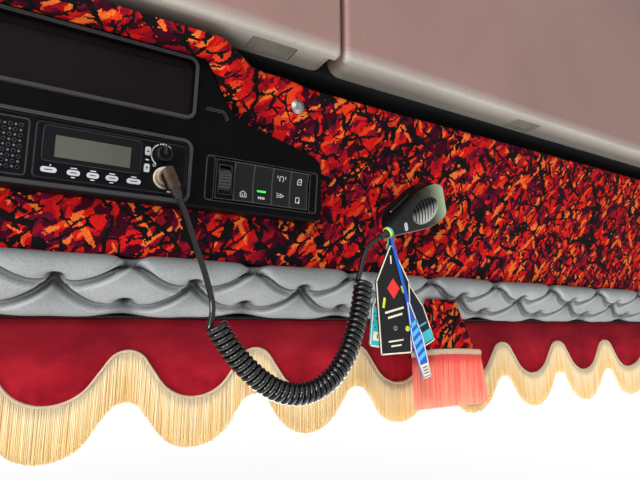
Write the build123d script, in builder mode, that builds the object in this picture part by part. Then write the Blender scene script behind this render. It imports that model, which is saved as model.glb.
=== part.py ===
"""Decorated overhead header of a truck cab, full width, in millimetres.

X runs to the right, Y forward to the windscreen, Z up. The origin is the middle of the
four fixing holes on the rear face of the back panel.
"""
from build123d import *
from math import atan2, cos, degrees, radians, sin, tan
import os

os.makedirs("parts", exist_ok=True)

# Locker carcass
header_width = 2100.0
carcass_depth = 320.0
board = 12.0
locker_floor_under = -176.0
roof_top = 217.0
divider_x = 238.0
mount_spacing_x = 800.0
mount_spacing_z = 200.0
mount_hole = 9.0

# Locker doors
door_thickness = 41.0
door_skin = 10.0
door_step = 0.8
door_front = 6.0
door_wall = 9.0
door_corner = 6.0
door_rear_corner = 16.0
door_top_gap = 0.3
door_seat_gap = 0.5
door_gap = 5.0
door_edge_round = 5.0
latch_length = 48.0
latch_depth = 24.0
latch_thickness = 4.0
latch_set_back = 12.0
latch_dish = 1.2
latch_dish_end = 4.0
latch_dish_front = 3.0
latch_dish_rear = 7.0
latch_gap = 0.4
latch_bevel = 0.8
centre_latch_x = 166.0
side_latch_x = 547.0

# Door hinges
hinge_set_back = 4.0
hinge_rise = 5.0
hinge_barrel = 8.0
hinge_pin = 3.0
hinge_leaf = 1.5
hinge_leaf_depth = 20.0
hinge_leaf_lap = 1.0
knuckle_gap = 0.6

# Plush covered fascia
fascia_set_back = 1.0
fascia_drop = 40.0
fascia_height = 169.0
fascia_run_back = 42.0
plush_thickness = 8.0
fascia_board_thickness = 6.0
crown_rise = 23.2
crown_half = 190.0
crown_foot = 345.0
crown_radius = 110.0
recess_depth = 50.0

# Plush roll over the console's top edge
roll_set_back = 4.5
roll_gap = 6.0
roll_nose = 10.0
roll_nose_round = 4.5
roll_drop = 20.0
roll_half = 112.0
roll_foot_half = 165.0
roll_shoulder_drop = 16.0
roll_end_round = 25.0
roll_sink = 4.0

# Tufted pad, trim strip and valance board
pad_proud = 8.0
pad_depth = 60.0
pad_height = 51.0
pad_lip = 14.0
pad_toe = 20.0
pad_drop = 2.0
pad_rounds = [6.0, 16.0, 10.0]
trim_height = 2.5
trim_depth = 17.0
valance_board_thickness = 8.0
valance_drop = 28.5
soft_gap = 0.3

# Pelmet, scallops and fringe
velvet_thickness = 3.0
scallop_pitch = 135.0
scallop_slope = 55.0
scallop_peak_drop = 36.5
scallop_peak_radius = 19.0
scallop_lobe_radius = 46.0
fringe_length = 47.0
fringe_thickness = 3.0
braid_height = 3.0

# Lower housing
housing_rear_top_y = -20.0
housing_rear_bottom_y = -150.0
housing_lift = 8.0
housing_board = 6.0

# Console
console_proud = 11.0
console_rise = 16.0
console_tilt = 6.0
console_height = 144.0
console_half = 238.5
console_depth = 60.0
console_wall = 3.0
console_edge_round = 4.0
bay_width = 187.0
bay_height = 53.0
bay_corner = 6.0
bay_rim = 3.0
bay_rim_raise = 2.0
upper_bay_v = -32.5
lower_bay_v = -110.5
bay_clearance = 0.5
bay_sleeve = 20.0
bank_u = 170.0
bank_v = -112.5
bank_width = 119.0
bank_height = 42.0
bank_corner = 3.0

# Radio
radio_recess = 2.0
radio_face_thickness = 6.0
chassis_width = 178.0
chassis_height = 50.0
chassis_length = 150.0
speaker_u = -61.0
speaker_width = 55.0
speaker_height = 45.0
speaker_plate = 2.0
speaker_hole = 2.4
speaker_pitch_u = 7.4
speaker_pitch_v = 8.4
speaker_columns = 7
speaker_rows = 5
control_u = 31.5
control_width = 121.0
control_height = 46.5
control_raise = 1.6
window_u = 14.6
window_v = -104.6
window_width = 74.8
window_height = 28.1
display_width = 58.0
display_height = 18.0
display_v = -106.2
knob_u = 70.5
knob_v = -99.5
knob_radius = 7.5
knob_height = 11.0
socket_u = 72.6
socket_v = -120.4
socket_radius = 10.0
socket_height = 5.0

# Microphone plug and cord
plug_nut_radius = 9.0
plug_nut_height = 7.0
plug_barrel_radius = 7.0
plug_reach = 22.0
plug_relief_radius = 5.2
plug_arm_length = 12.0
plug_relief_length = 9.0
cord_diameter = 5.4
coil_diameter = 21.0
relief_end_radius = 3.6

# Hand microphone
mic_neck_x = 315.0
mic_neck_proud = 14.0
mic_neck_drop = 130.0
mic_length = 85.0
mic_width = 49.0
mic_neck_width = 15.0
mic_front_thickness = 7.0
mic_back_thickness = 25.0
mic_neck_thickness = 7.0
mic_relief_radius = 4.6
mic_relief_length = 15.0
mic_back_round = 7.0
mic_swell = 36.0
mic_end_slope = 9.0
mic_bevel = 1.6
widest_share = 0.35
key_length = 32.0
key_width = 9.0
key_height = 3.5
key_depth = 8.0

# Tags and pennant
tag_thickness = 1.6
pennant_thickness = 6.0
pennant_lap = 24.2
pennant_height = 73.9
pennant_fringe_length = 60.5
pennant_fringe_lap = 8.0
pennant_x = 441.0

# Values that follow from the ones above
half_width = header_width / 2
inner_half = half_width - board
floor_top = locker_floor_under + board
roof_under = roof_top - board
door_inner_y = -carcass_depth - door_seat_gap
door_outer_y = door_inner_y - door_thickness
door_bottom = locker_floor_under
door_top = roof_top + door_top_gap
hinge_y = -carcass_depth + hinge_set_back
hinge_z = roof_top + hinge_rise
fascia_top_y = -carcass_depth + fascia_set_back
fascia_top_z = locker_floor_under - fascia_drop
fascia_bottom_y = fascia_top_y + fascia_run_back
fascia_bottom_z = fascia_top_z - fascia_height
fascia_tilt = degrees(atan2(fascia_run_back, fascia_height))
fascia_length = fascia_height / cos(radians(fascia_tilt))
recess_y = fascia_top_y + recess_depth
roll_front_y = door_outer_y + roll_set_back
roll_top_z = door_bottom - roll_gap
roll_foot_z = fascia_top_z - roll_drop
pad_front_y = fascia_bottom_y - pad_proud
pad_top_z = fascia_bottom_z - pad_drop - soft_gap
pad_bottom_z = pad_top_z - pad_height
pad_lip_z = pad_top_z - pad_lip
valance_y = pad_front_y + pad_depth
pad_toe_y = valance_y - pad_toe
valance_bottom_z = pad_bottom_z - valance_drop
scallop_peak_z = pad_bottom_z - scallop_peak_drop
housing_bottom_z = valance_bottom_z + housing_lift
console_top_y = fascia_top_y - console_proud
console_top_z = fascia_top_z + console_rise
console_top_v = 2.0
console_bottom_v = console_top_v - console_height


def leaning_plane(y, z, lean):
    """A plane through (0, y, z) that looks at the driver and leans out at its top."""
    return Plane(
        origin=(0, y, z),
        x_dir=(1, 0, 0),
        z_dir=(0, -cos(radians(lean)), -sin(radians(lean))),
    )


fascia_plane = leaning_plane(fascia_top_y, fascia_top_z, fascia_tilt)
console_plane = leaning_plane(console_top_y, console_top_z, console_tilt)


def at_fascia(z):
    """The Y of the plush surface at a height."""
    return fascia_top_y + (fascia_top_z - z) * tan(radians(fascia_tilt))


def behind_fascia(z):
    """The Y of the rear face of the fascia board at a height."""
    return at_fascia(z) + (plush_thickness + fascia_board_thickness) / cos(radians(fascia_tilt))


def save(part, name):
    part.label = name
    export_step(part, f"parts/{name}.step")


# Back panel with its four fixing holes
with BuildPart() as back_panel:
    with BuildSketch(Plane.XZ) as back_outline:
        with BuildLine():
            Polyline(
                (-inner_half, locker_floor_under), (inner_half, locker_floor_under),
                (inner_half, roof_top), (-inner_half, roof_top), close=True,
            )
        make_face()
        with GridLocations(mount_spacing_x, mount_spacing_z, 2, 2):
            Circle(mount_hole / 2, mode=Mode.SUBTRACT)
    extrude(amount=board)
save(back_panel.part, "back_panel")

# Floor and roof of the lockers
board_length = carcass_depth - board
for name, under in (("floor_panel", locker_floor_under), ("roof_panel", roof_under)):
    with BuildPart() as level_panel:
        with BuildSketch(Plane.XY.offset(under)):
            with Locations((0, -board - board_length / 2)):
                Rectangle(2 * inner_half, board_length)
        extrude(amount=board)
    save(level_panel.part, name)

# Cheeks that close both ends, lockers and lower housing alike
cheek_outline = [
    (0, roof_top), (-carcass_depth, roof_top), (-carcass_depth, locker_floor_under),
    (fascia_top_y - 8, fascia_top_z), (pad_front_y - 2, pad_lip_z),
    (pad_toe_y - 2, pad_bottom_z - 4), (valance_y - 6, housing_bottom_z),
    (housing_rear_bottom_y, housing_bottom_z),
    (0, locker_floor_under - 20),
]
with BuildPart() as cheeks:
    for inside in (-half_width, inner_half):
        with BuildSketch(Plane.YZ.offset(inside)):
            with BuildLine():
                Polyline(*cheek_outline, close=True)
            make_face()
        extrude(amount=board)
    fillet(cheeks.edges().filter_by(Axis.X).group_by(Axis.Y)[0], 3)
save(cheeks.part, "cheeks")

# Dividers between the three lockers
with BuildPart() as dividers:
    for middle in (-divider_x, divider_x):
        with BuildSketch(Plane.YZ.offset(middle - board / 2)):
            with BuildLine():
                Polyline(
                    (-board, floor_top), (-carcass_depth, floor_top),
                    (-carcass_depth, roof_under), (-board, roof_under), close=True,
                )
            make_face()
        extrude(amount=board)
save(dividers.part, "dividers")

# Doors with their moving hinge knuckles, and their latches: name, left edge, right edge, latch places
doors = [
    ("left", -half_width + 1, -divider_x - door_gap / 2, [-side_latch_x]),
    ("centre", -divider_x + door_gap / 2, divider_x - door_gap / 2,
     [-centre_latch_x, centre_latch_x]),
    ("right", divider_x + door_gap / 2, half_width - 1, [side_latch_x]),
]
latch_y = door_outer_y + latch_set_back + latch_depth / 2
latch_z = door_bottom + door_step


def knuckles(left, right):
    """Spans of a hinge barrel: fixed, moving, fixed, moving, fixed."""
    step = (right - left - 40) / 5
    return [(left + 20 + k * step, left + 20 + (k + 1) * step) for k in range(5)]


leaf_y = door_inner_y - hinge_leaf_lap
for name, left, right, latches in doors:
    with BuildPart() as door:
        middle = ((left + right) / 2, (door_bottom + door_top) / 2)
        width, height = right - left, door_top - door_bottom
        with BuildSketch(Plane.XZ.offset(-door_inner_y)):
            with Locations(middle):
                RectangleRounded(width - 2 * door_step, height - 2 * door_step, door_rear_corner)
        extrude(amount=door_thickness - door_skin)
        with BuildSketch(Plane.XZ.offset(-door_outer_y - door_skin)):
            with Locations(middle):
                RectangleRounded(width, height, door_corner)
        extrude(amount=door_skin)
        fillet(door.faces().sort_by(Axis.Y)[0].edges(), door_edge_round)
        with BuildSketch(Plane.XZ.offset(-door_inner_y)):
            with Locations(middle):
                RectangleRounded(width - 2 * door_wall, height - 2 * door_wall,
                                 door_rear_corner - door_wall / 2)
        extrude(amount=door_thickness - door_front, mode=Mode.SUBTRACT)
        with BuildSketch(Plane.XY.offset(latch_z)):
            with Locations(*[(x, latch_y) for x in latches]):
                RectangleRounded(latch_length + 2 * latch_gap, latch_depth + 2 * latch_gap, 3)
        extrude(amount=latch_thickness + latch_gap, mode=Mode.SUBTRACT)
        for start, end in (knuckles(left, right)[1], knuckles(left, right)[3]):
            with BuildSketch(Plane.YZ.offset(start + knuckle_gap / 2)):
                with Locations((hinge_y, hinge_z)):
                    Circle(hinge_barrel / 2)
                with BuildLine():
                    Polyline(
                        (hinge_y - hinge_leaf_depth, door_top - door_step),
                        (leaf_y, door_top - door_step), (leaf_y, door_top),
                        (hinge_y, door_top), (hinge_y, hinge_z - 2), (hinge_y - 3, hinge_z - 2),
                        (hinge_y - 6, door_top + hinge_leaf),
                        (hinge_y - hinge_leaf_depth, door_top + hinge_leaf), close=True,
                    )
                make_face()
                with Locations((hinge_y, hinge_z)):
                    Circle(hinge_pin / 2 + 0.4, mode=Mode.SUBTRACT)
            extrude(amount=end - start - knuckle_gap)
    save(door.part, f"door_{name}")

    with BuildPart() as latch:
        with BuildSketch(Plane.XY.offset(latch_z + latch_gap)):
            with Locations(*[(x, latch_y) for x in latches]):
                RectangleRounded(latch_length, latch_depth, 2.6)
        extrude(amount=latch_thickness)
        chamfer(latch.edges().group_by(Axis.Z)[0], latch_bevel)
        with BuildSketch(Plane.XY.offset(latch_z + latch_gap)):
            with Locations(*[(x, latch_y + (latch_dish_rear - latch_dish_front) / 2)
                             for x in latches]):
                RectangleRounded(latch_length - 2 * latch_dish_end,
                                 latch_depth - latch_dish_front - latch_dish_rear, 2)
        extrude(amount=latch_dish, mode=Mode.SUBTRACT)
    save(latch.part, f"latch_{name}")

# Fixed hinge knuckles on the roof with the pins through them
with BuildPart() as hinge_fixed:
    for name, left, right, latches in doors:
        spans = knuckles(left, right)
        for start, end in (spans[0], spans[2], spans[4]):
            with BuildSketch(Plane.YZ.offset(start)):
                with Locations((hinge_y, hinge_z)):
                    Circle(hinge_barrel / 2)
                with BuildLine():
                    Polyline(
                        (hinge_y, roof_top), (hinge_y + hinge_leaf_depth, roof_top),
                        (hinge_y + hinge_leaf_depth, roof_top + hinge_leaf),
                        (hinge_y + 5, roof_top + hinge_leaf),
                        (hinge_y + 3, hinge_z), (hinge_y, hinge_z), close=True,
                    )
                make_face()
            extrude(amount=end - start)
        with BuildSketch(Plane.YZ.offset(spans[0][0])):
            with Locations((hinge_y, hinge_z)):
                Circle(hinge_pin / 2)
        extrude(amount=spans[4][1] - spans[0][0])
save(hinge_fixed.part, "hinge_fixed")


def fascia_outline(inset):
    """Front view of the fascia: straight foot, raised crown round the console."""
    edge = inner_half - inset
    FilletPolyline(
        (-edge, 0), (-crown_foot, 0), (-crown_half, crown_rise),
        (crown_half, crown_rise), (crown_foot, 0), (edge, 0), radius=crown_radius,
    )
    Polyline((edge, 0), (edge, -fascia_length), (-edge, -fascia_length), (-edge, 0))


# Front view of the console, its half outline mirrored
console_points = [
    (0, console_top_v), (104, console_top_v), (134, -50), (235, -75),
    (console_half, console_bottom_v), (0, console_bottom_v),
]
console_radii = [14, 40, 18, 8]


def console_outline():
    """Right half of the console's front view and its mirror image."""
    half = FilletPolyline(*console_points, radius=console_radii)
    mirror(half, about=Plane.YZ)


# Plush roll: where its section, its plan and its front view meet, cut away round the console
with BuildPart() as crown_roll:
    with BuildSketch(Plane.YZ.offset(-roll_foot_half)):
        with BuildLine():
            Polyline(
                (at_fascia(roll_foot_z) + roll_sink, roll_foot_z), (roll_front_y, roll_top_z - roll_nose),
                (roll_front_y, roll_top_z), (at_fascia(roll_top_z) + roll_sink, roll_top_z),
                close=True,
            )
        make_face()
        fillet(vertices().group_by(Axis.X)[0], roll_nose_round)
    extrude(amount=2 * roll_foot_half)
    roll_end_y = at_fascia(roll_foot_z)
    roll_rear_y = roll_end_y + 2 * roll_sink
    with BuildSketch(Plane.XY.offset(roll_foot_z)):
        with BuildLine():
            Polyline(
                (-roll_foot_half, roll_rear_y), (-roll_foot_half, roll_end_y),
                (-roll_half, roll_front_y), (roll_half, roll_front_y),
                (roll_foot_half, roll_end_y), (roll_foot_half, roll_rear_y), close=True,
            )
        make_face()
        fillet(vertices().group_by(Axis.Y)[0], roll_end_round)
    extrude(amount=roll_top_z - roll_foot_z, mode=Mode.INTERSECT)
    shoulder_z = roll_top_z - roll_shoulder_drop
    with BuildSketch(Plane.XZ.offset(-roll_rear_y)):
        with BuildLine():
            Polyline(
                (-roll_foot_half, roll_foot_z), (-roll_foot_half, shoulder_z),
                (-roll_half, roll_top_z), (roll_half, roll_top_z),
                (roll_foot_half, shoulder_z), (roll_foot_half, roll_foot_z), close=True,
            )
        make_face()
    extrude(amount=roll_rear_y - roll_front_y, mode=Mode.INTERSECT)
    with BuildSketch(console_plane.offset(-console_depth)):
        with BuildLine():
            console_outline()
        make_face()
        offset(amount=soft_gap, mode=Mode.REPLACE)
    extrude(amount=2 * console_depth, mode=Mode.SUBTRACT)

# Plush cover and the board behind it, both open where the console's bays pass through
opening_half = console_half - 14
opening_top = -66.0
opening_bottom = -124.0
crown_opening_half = 99.0
crown_opening_top = 13.0
for name, front, thickness, extras in (
    ("fascia_plush", 0.0, plush_thickness, [crown_roll.part]),
    ("fascia_board", plush_thickness, fascia_board_thickness, []),
):
    with BuildPart() as fascia:
        with BuildSketch(fascia_plane.offset(-front - thickness)):
            with BuildLine():
                fascia_outline(soft_gap)
            make_face()
            with Locations((0, (opening_top + opening_bottom) / 2)):
                Rectangle(2 * opening_half, opening_top - opening_bottom, mode=Mode.SUBTRACT)
            with Locations((0, (crown_opening_top + opening_bottom) / 2)):
                Rectangle(2 * crown_opening_half, crown_opening_top - opening_bottom,
                          mode=Mode.SUBTRACT)
        extrude(amount=thickness)
        for extra in extras:
            add(extra)
    save(fascia.part, name)

# Recess behind the fascia's top edge: an upright board and the ledge that the fascia meets
with BuildPart() as recess_board:
    with BuildSketch(Plane.YZ.offset(-inner_half + soft_gap)):
        ledge_top = fascia_top_z - 4
        ledge_bottom = ledge_top - housing_board
        recess_back = recess_y + housing_board
        with BuildLine():
            Polyline(
                (behind_fascia(ledge_bottom), ledge_bottom), (behind_fascia(ledge_top), ledge_top),
                (recess_y, ledge_top), (recess_y, locker_floor_under),
                (recess_back, locker_floor_under), (recess_back, ledge_bottom), close=True,
            )
        make_face()
    extrude(amount=2 * (inner_half - soft_gap))
save(recess_board.part, "recess_board")

# Valance board that carries the pad and the pelmet
with BuildPart() as valance_board:
    with BuildSketch(Plane.XY.offset(valance_bottom_z)):
        with Locations((0, valance_y + valance_board_thickness / 2)):
            Rectangle(2 * inner_half, valance_board_thickness)
    extrude(amount=fascia_bottom_z - pad_drop - valance_bottom_z)
save(valance_board.part, "valance_board")

# Underside and rear of the lower housing
with BuildPart() as underside_board:
    with BuildSketch(Plane.YZ.offset(-inner_half)):
        under_front = valance_y + valance_board_thickness
        with BuildLine():
            Polyline(
                (under_front, housing_bottom_z), (housing_rear_bottom_y, housing_bottom_z),
                (housing_rear_bottom_y - 6, housing_bottom_z + housing_board),
                (under_front, housing_bottom_z + housing_board), close=True,
            )
        make_face()
    extrude(amount=2 * inner_half)
save(underside_board.part, "underside_board")

with BuildPart() as rear_board:
    with BuildSketch(Plane.YZ.offset(-inner_half)):
        with BuildLine():
            Polyline(
                (housing_rear_bottom_y - 6, housing_bottom_z + housing_board),
                (housing_rear_bottom_y, housing_bottom_z + housing_board),
                (housing_rear_top_y, locker_floor_under),
                (housing_rear_top_y - 7, locker_floor_under), close=True,
            )
        make_face()
    extrude(amount=2 * inner_half)
save(rear_board.part, "rear_board")

# Tufted pad under the fascia, plain here, its face sloping in under the fascia
with BuildPart() as tufted_pad:
    with BuildSketch(Plane.YZ.offset(-inner_half + soft_gap)):
        with BuildLine():
            section = FilletPolyline(
                (valance_y - soft_gap, pad_top_z), (pad_front_y, pad_top_z),
                (pad_front_y, pad_lip_z), (pad_toe_y, pad_bottom_z),
                (valance_y - soft_gap, pad_bottom_z), radius=pad_rounds,
            )
            Line(section @ 1, section @ 0)
        make_face()
    extrude(amount=2 * (inner_half - soft_gap))
save(tufted_pad.part, "tufted_pad")

# Dark strip under the pad
with BuildPart() as pad_trim:
    with BuildSketch(Plane.YZ.offset(-inner_half + soft_gap)):
        with Locations((valance_y - trim_depth / 2, pad_bottom_z - soft_gap - trim_height / 2)):
            RectangleRounded(trim_depth, trim_height, 0.4 * trim_height)
    extrude(amount=2 * (inner_half - soft_gap))
save(pad_trim.part, "pad_trim")

# Pelmet: velvet with a scalloped hem, then the fringe that hangs from the hem
scallops = int(2 * inner_half / scallop_pitch)
hem_half = scallops * scallop_pitch / 2
half_pitch = scallop_pitch / 2
turn_loss = 1 / cos(radians(scallop_slope)) - 1
peak_vertex_z = scallop_peak_z + scallop_peak_radius * turn_loss
lobe_vertex_z = peak_vertex_z - half_pitch * tan(radians(scallop_slope))
velvet_top_z = pad_bottom_z - soft_gap - trim_height
velvet_edge = inner_half - 1


def hem_line(drop):
    """Scalloped line across the header, its lobes low and its peaks high."""
    points = []
    for k in range(2 * scallops + 1):
        x = -hem_half + k * half_pitch
        z = lobe_vertex_z if k % 2 else peak_vertex_z
        points.append((x, z - drop))
    points[0] = (-velvet_edge, points[0][1])
    points[-1] = (velvet_edge, points[-1][1])
    radii = [scallop_lobe_radius if k % 2 else scallop_peak_radius
             for k in range(1, 2 * scallops)]
    return FilletPolyline(*points, radius=radii)


with BuildPart() as pelmet:
    with BuildSketch(Plane.XZ.offset(-valance_y + soft_gap)):
        with BuildLine():
            hem = hem_line(0)
            Polyline(hem @ 0, (-velvet_edge, velvet_top_z), (velvet_edge, velvet_top_z), hem @ 1)
        make_face()
    extrude(amount=velvet_thickness)
save(pelmet.part, "pelmet")

with BuildPart() as pelmet_fringe:
    with BuildSketch(Plane.XZ.offset(-valance_y + 2 * soft_gap + velvet_thickness)):
        with BuildLine():
            upper = hem_line(-braid_height)
            lower = hem_line(fringe_length)
            Line(upper @ 0, lower @ 0)
            Line(upper @ 1, lower @ 1)
        make_face()
    extrude(amount=fringe_thickness)
save(pelmet_fringe.part, "pelmet_fringe")

# Console bezel: hollow behind, two radio bays and two switch banks
grip_groove = [(107, -48), (124, -48), (127.5, -55)]
groove_width = 1.8
groove_depth = 1.2
with BuildPart() as console_bezel:
    with BuildSketch(console_plane.offset(-console_depth)) as console_face:
        with BuildLine():
            console_outline()
        make_face()
    extrude(amount=console_depth)
    front_edges = console_bezel.faces().sort_by(Axis((0, 0, 0), console_plane.z_dir))[-1].edges()
    fillet(front_edges, console_edge_round)
    with BuildSketch(console_plane.offset(-console_depth)):
        with BuildLine():
            console_outline()
        make_face()
        offset(amount=-console_wall, mode=Mode.REPLACE)
    extrude(amount=console_depth - console_wall, mode=Mode.SUBTRACT)
    with BuildSketch(console_plane.offset(-bay_sleeve)):
        with Locations((0, upper_bay_v), (0, lower_bay_v)):
            RectangleRounded(bay_width + 2 * bay_rim, bay_height + 2 * bay_rim,
                             bay_corner + bay_rim)
    extrude(amount=bay_sleeve + bay_rim_raise)
    with BuildSketch(console_plane.offset(-bay_sleeve)):
        with Locations((-bank_u, bank_v), (bank_u, bank_v)):
            RectangleRounded(bank_width + 4, bank_height + 4, bank_corner + 2)
    extrude(amount=bay_sleeve - console_wall / 2)
    with BuildSketch(console_plane.offset(-bay_sleeve)):
        with Locations((0, upper_bay_v), (0, lower_bay_v)):
            RectangleRounded(bay_width, bay_height, bay_corner)
        with Locations((-bank_u, bank_v), (bank_u, bank_v)):
            RectangleRounded(bank_width, bank_height, bank_corner)
    extrude(amount=bay_sleeve + bay_rim_raise, mode=Mode.SUBTRACT)
    with BuildSketch(console_plane):
        with BuildLine():
            FilletPolyline(*grip_groove, radius=4)
        trace(line_width=groove_width)
    extrude(amount=-groove_depth, mode=Mode.SUBTRACT)
    split(bisect_by=fascia_plane, keep=Keep.TOP)
save(console_bezel.part, "console_bezel")

# Blank cover in the upper bay
with BuildPart() as blank_cover:
    with BuildSketch(console_plane.offset(-12)):
        with Locations((0, upper_bay_v)):
            RectangleRounded(bay_width - bay_clearance, bay_height - bay_clearance, bay_corner)
    extrude(amount=6)
    with BuildSketch(console_plane.offset(-6)):
        with Locations((0, upper_bay_v)):
            RectangleRounded(bay_width - 12, bay_height - 12, bay_corner - 2)
    extrude(amount=-1.2, mode=Mode.SUBTRACT)
save(blank_cover.part, "blank_cover")

# Radio: chassis box, face, speaker plate, control plate, display
face_back = radio_recess + radio_face_thickness
with BuildPart() as radio_chassis:
    with BuildSketch(console_plane.offset(-face_back - chassis_length)):
        with Locations((0, lower_bay_v)):
            Rectangle(chassis_width, chassis_height)
    extrude(amount=chassis_length)
save(radio_chassis.part, "radio_chassis")

with BuildPart() as radio_face:
    with BuildSketch(console_plane.offset(-face_back)):
        with Locations((0, lower_bay_v)):
            RectangleRounded(bay_width - bay_clearance, bay_height - bay_clearance, bay_corner)
    extrude(amount=radio_face_thickness)
    with BuildSketch(console_plane.offset(-radio_recess)):
        with Locations((speaker_u, lower_bay_v)):
            RectangleRounded(speaker_width + 0.4, speaker_height + 0.4, 3)
    extrude(amount=-speaker_plate, mode=Mode.SUBTRACT)
save(radio_face.part, "radio_face")

with BuildPart() as speaker_grille:
    with BuildSketch(console_plane.offset(-radio_recess - speaker_plate)):
        with Locations((speaker_u, lower_bay_v)):
            RectangleRounded(speaker_width, speaker_height, 2.8)
            with GridLocations(speaker_pitch_u, speaker_pitch_v, speaker_columns, speaker_rows):
                RegularPolygon(speaker_hole / 2, 6, mode=Mode.SUBTRACT)
            with GridLocations(speaker_pitch_u, speaker_pitch_v, speaker_columns - 1,
                               speaker_rows - 1):
                RegularPolygon(speaker_hole / 2, 6, mode=Mode.SUBTRACT)
    extrude(amount=speaker_plate)
save(speaker_grille.part, "speaker_grille")

with BuildPart() as control_plate:
    with BuildSketch(console_plane.offset(-radio_recess)):
        with Locations((control_u, lower_bay_v)):
            RectangleRounded(control_width, control_height, 4)
    extrude(amount=control_raise)
    chamfer(control_plate.faces().sort_by(Axis((0, 0, 0), console_plane.z_dir))[-1].edges(), 0.8)
    with BuildSketch(console_plane.offset(-radio_recess + control_raise)):
        with Locations((window_u, window_v)):
            RectangleRounded(window_width + 0.4, window_height + 0.4, 3)
    extrude(amount=-1, mode=Mode.SUBTRACT)
save(control_plate.part, "control_plate")

with BuildPart() as display_window:
    with BuildSketch(console_plane.offset(-radio_recess + control_raise - 1)):
        with Locations((window_u, window_v)):
            RectangleRounded(window_width, window_height, 2.8)
    extrude(amount=1.4)
    with BuildSketch(console_plane.offset(-radio_recess + control_raise + 0.4)):
        with Locations((window_u, display_v)):
            Rectangle(display_width + 0.2, display_height + 0.2)
    extrude(amount=-0.8, mode=Mode.SUBTRACT)
save(display_window.part, "display_window")

with BuildPart() as display_glass:
    with BuildSketch(console_plane.offset(-radio_recess + control_raise - 0.4)):
        with Locations((window_u, display_v)):
            Rectangle(display_width, display_height)
    extrude(amount=0.6)
save(display_glass.part, "display_glass")

# Push buttons: left end, right end on one row, then the two channel keys
button_row_v = -126.4
button_height = 4.4
button_spans = [(-23.1, -11.5), (-4.2, 5.6), (10.5, 20.0), (25.1, 35.0), (41.8, 53.4)]
channel_key_u = 57.4
channel_key_v = [-97.8, -112.9]
with BuildPart() as radio_buttons:
    with BuildSketch(console_plane.offset(-radio_recess + control_raise)):
        for left, right in button_spans:
            with Locations(((left + right) / 2, button_row_v)):
                SlotOverall(right - left, button_height)
        with Locations(*[(channel_key_u, v) for v in channel_key_v]):
            RectangleRounded(4.6, 7.4, 1.2)
    extrude(amount=1.5)
save(radio_buttons.part, "radio_buttons")

knob_foot = -radio_recess + control_raise
knob_base = console_plane.from_local_coords(Vector(knob_u, knob_v, knob_foot))
with BuildPart() as volume_knob:
    with BuildSketch(Plane(origin=knob_base, x_dir=console_plane.x_dir,
                           z_dir=-console_plane.y_dir)):
        with BuildLine():
            Polyline(
                (0, 0), (knob_radius, 0), (knob_radius - 0.8, knob_height - 0.8),
                (knob_radius - 1.6, knob_height), (0, knob_height), close=True,
            )
        make_face()
    revolve(axis=Axis(knob_base, console_plane.z_dir))
    with BuildSketch(console_plane.offset(knob_foot + knob_height)):
        with Locations((knob_u, knob_v + 3)):
            Rectangle(1.2, 6)
    extrude(amount=-0.8, mode=Mode.SUBTRACT)
save(volume_knob.part, "volume_knob")

# Microphone socket, plug with its elbow, and the plug's strain relief
with BuildPart() as mic_socket:
    with BuildSketch(console_plane.offset(-radio_recess + control_raise)):
        with Locations((socket_u, socket_v)):
            Circle(socket_radius)
    extrude(amount=socket_height)
save(mic_socket.part, "mic_socket")

socket_top = -radio_recess + control_raise + socket_height
elbow = console_plane.from_local_coords(Vector(socket_u, socket_v, plug_reach))
arm_direction = Vector(0.45, 0.05, -0.89).normalized()
mitre_plane = Plane(origin=elbow, z_dir=arm_direction + console_plane.z_dir)
with BuildPart() as mic_plug:
    with BuildSketch(console_plane.offset(socket_top)):
        with Locations((socket_u, socket_v)):
            Circle(plug_nut_radius)
    extrude(amount=plug_nut_height)
    with BuildSketch(console_plane.offset(socket_top + plug_nut_height)):
        with Locations((socket_u, socket_v)):
            Circle(plug_barrel_radius)
    extrude(amount=plug_reach + plug_barrel_radius - socket_top - plug_nut_height)
    split(bisect_by=mitre_plane, keep=Keep.BOTTOM)
    with BuildPart(mode=Mode.PRIVATE) as plug_arm:
        with BuildSketch(Plane(origin=elbow, z_dir=arm_direction).offset(-plug_barrel_radius)):
            Circle(plug_barrel_radius)
        extrude(amount=plug_barrel_radius + plug_arm_length)
        split(bisect_by=mitre_plane, keep=Keep.TOP)
    add(plug_arm.part)
save(mic_plug.part, "mic_plug")

arm_end = elbow + arm_direction * plug_arm_length
relief_end = arm_end + arm_direction * plug_relief_length
with BuildPart() as plug_relief:
    with Locations(Plane(origin=arm_end, z_dir=arm_direction)):
        Cone(plug_relief_radius, relief_end_radius, plug_relief_length,
             align=(Align.CENTER, Align.CENTER, Align.MIN))
save(plug_relief.part, "plug_relief")

# Route of the microphone cord, in three stretches: lead, coil, tail
mic_neck = Vector(mic_neck_x, fascia_top_y - mic_neck_proud, fascia_top_z - mic_neck_drop)
mic_axis = Vector(0.853, -0.142, 0.502).normalized()
mic_relief_end = mic_neck - mic_axis * mic_relief_length
first_run = relief_end + arm_direction * 15.0
last_run = mic_relief_end - mic_axis * 15.5
lead_points = [
    relief_end, first_run,
    (95.5, -335.5, -371.5), (106.5, -334.5, -398.0), (114.5, -334.8, -422.0),
    (117.0, -335.2, -436.5), (119.5, -335.5, -449.0),
]
coil_points = [
    (119.5, -335.5, -449.0), (131.0, -336.0, -466.0), (144.5, -336.5, -481.5),
    (160.5, -337.0, -496.0), (179.0, -337.0, -507.0), (199.5, -337.0, -511.5),
    (219.5, -336.5, -508.5), (237.0, -336.0, -498.5), (250.5, -335.5, -483.5),
    (260.0, -335.0, -466.0), (267.5, -334.5, -447.0), (273.5, -333.5, -427.0),
    (278.5, -331.0, -405.0),
]
tail_points = [
    (278.5, -331.0, -405.0), (275.5, -331.0, -391.5), (280.2, -329.5, -376.6),
    last_run, mic_relief_end,
]


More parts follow.
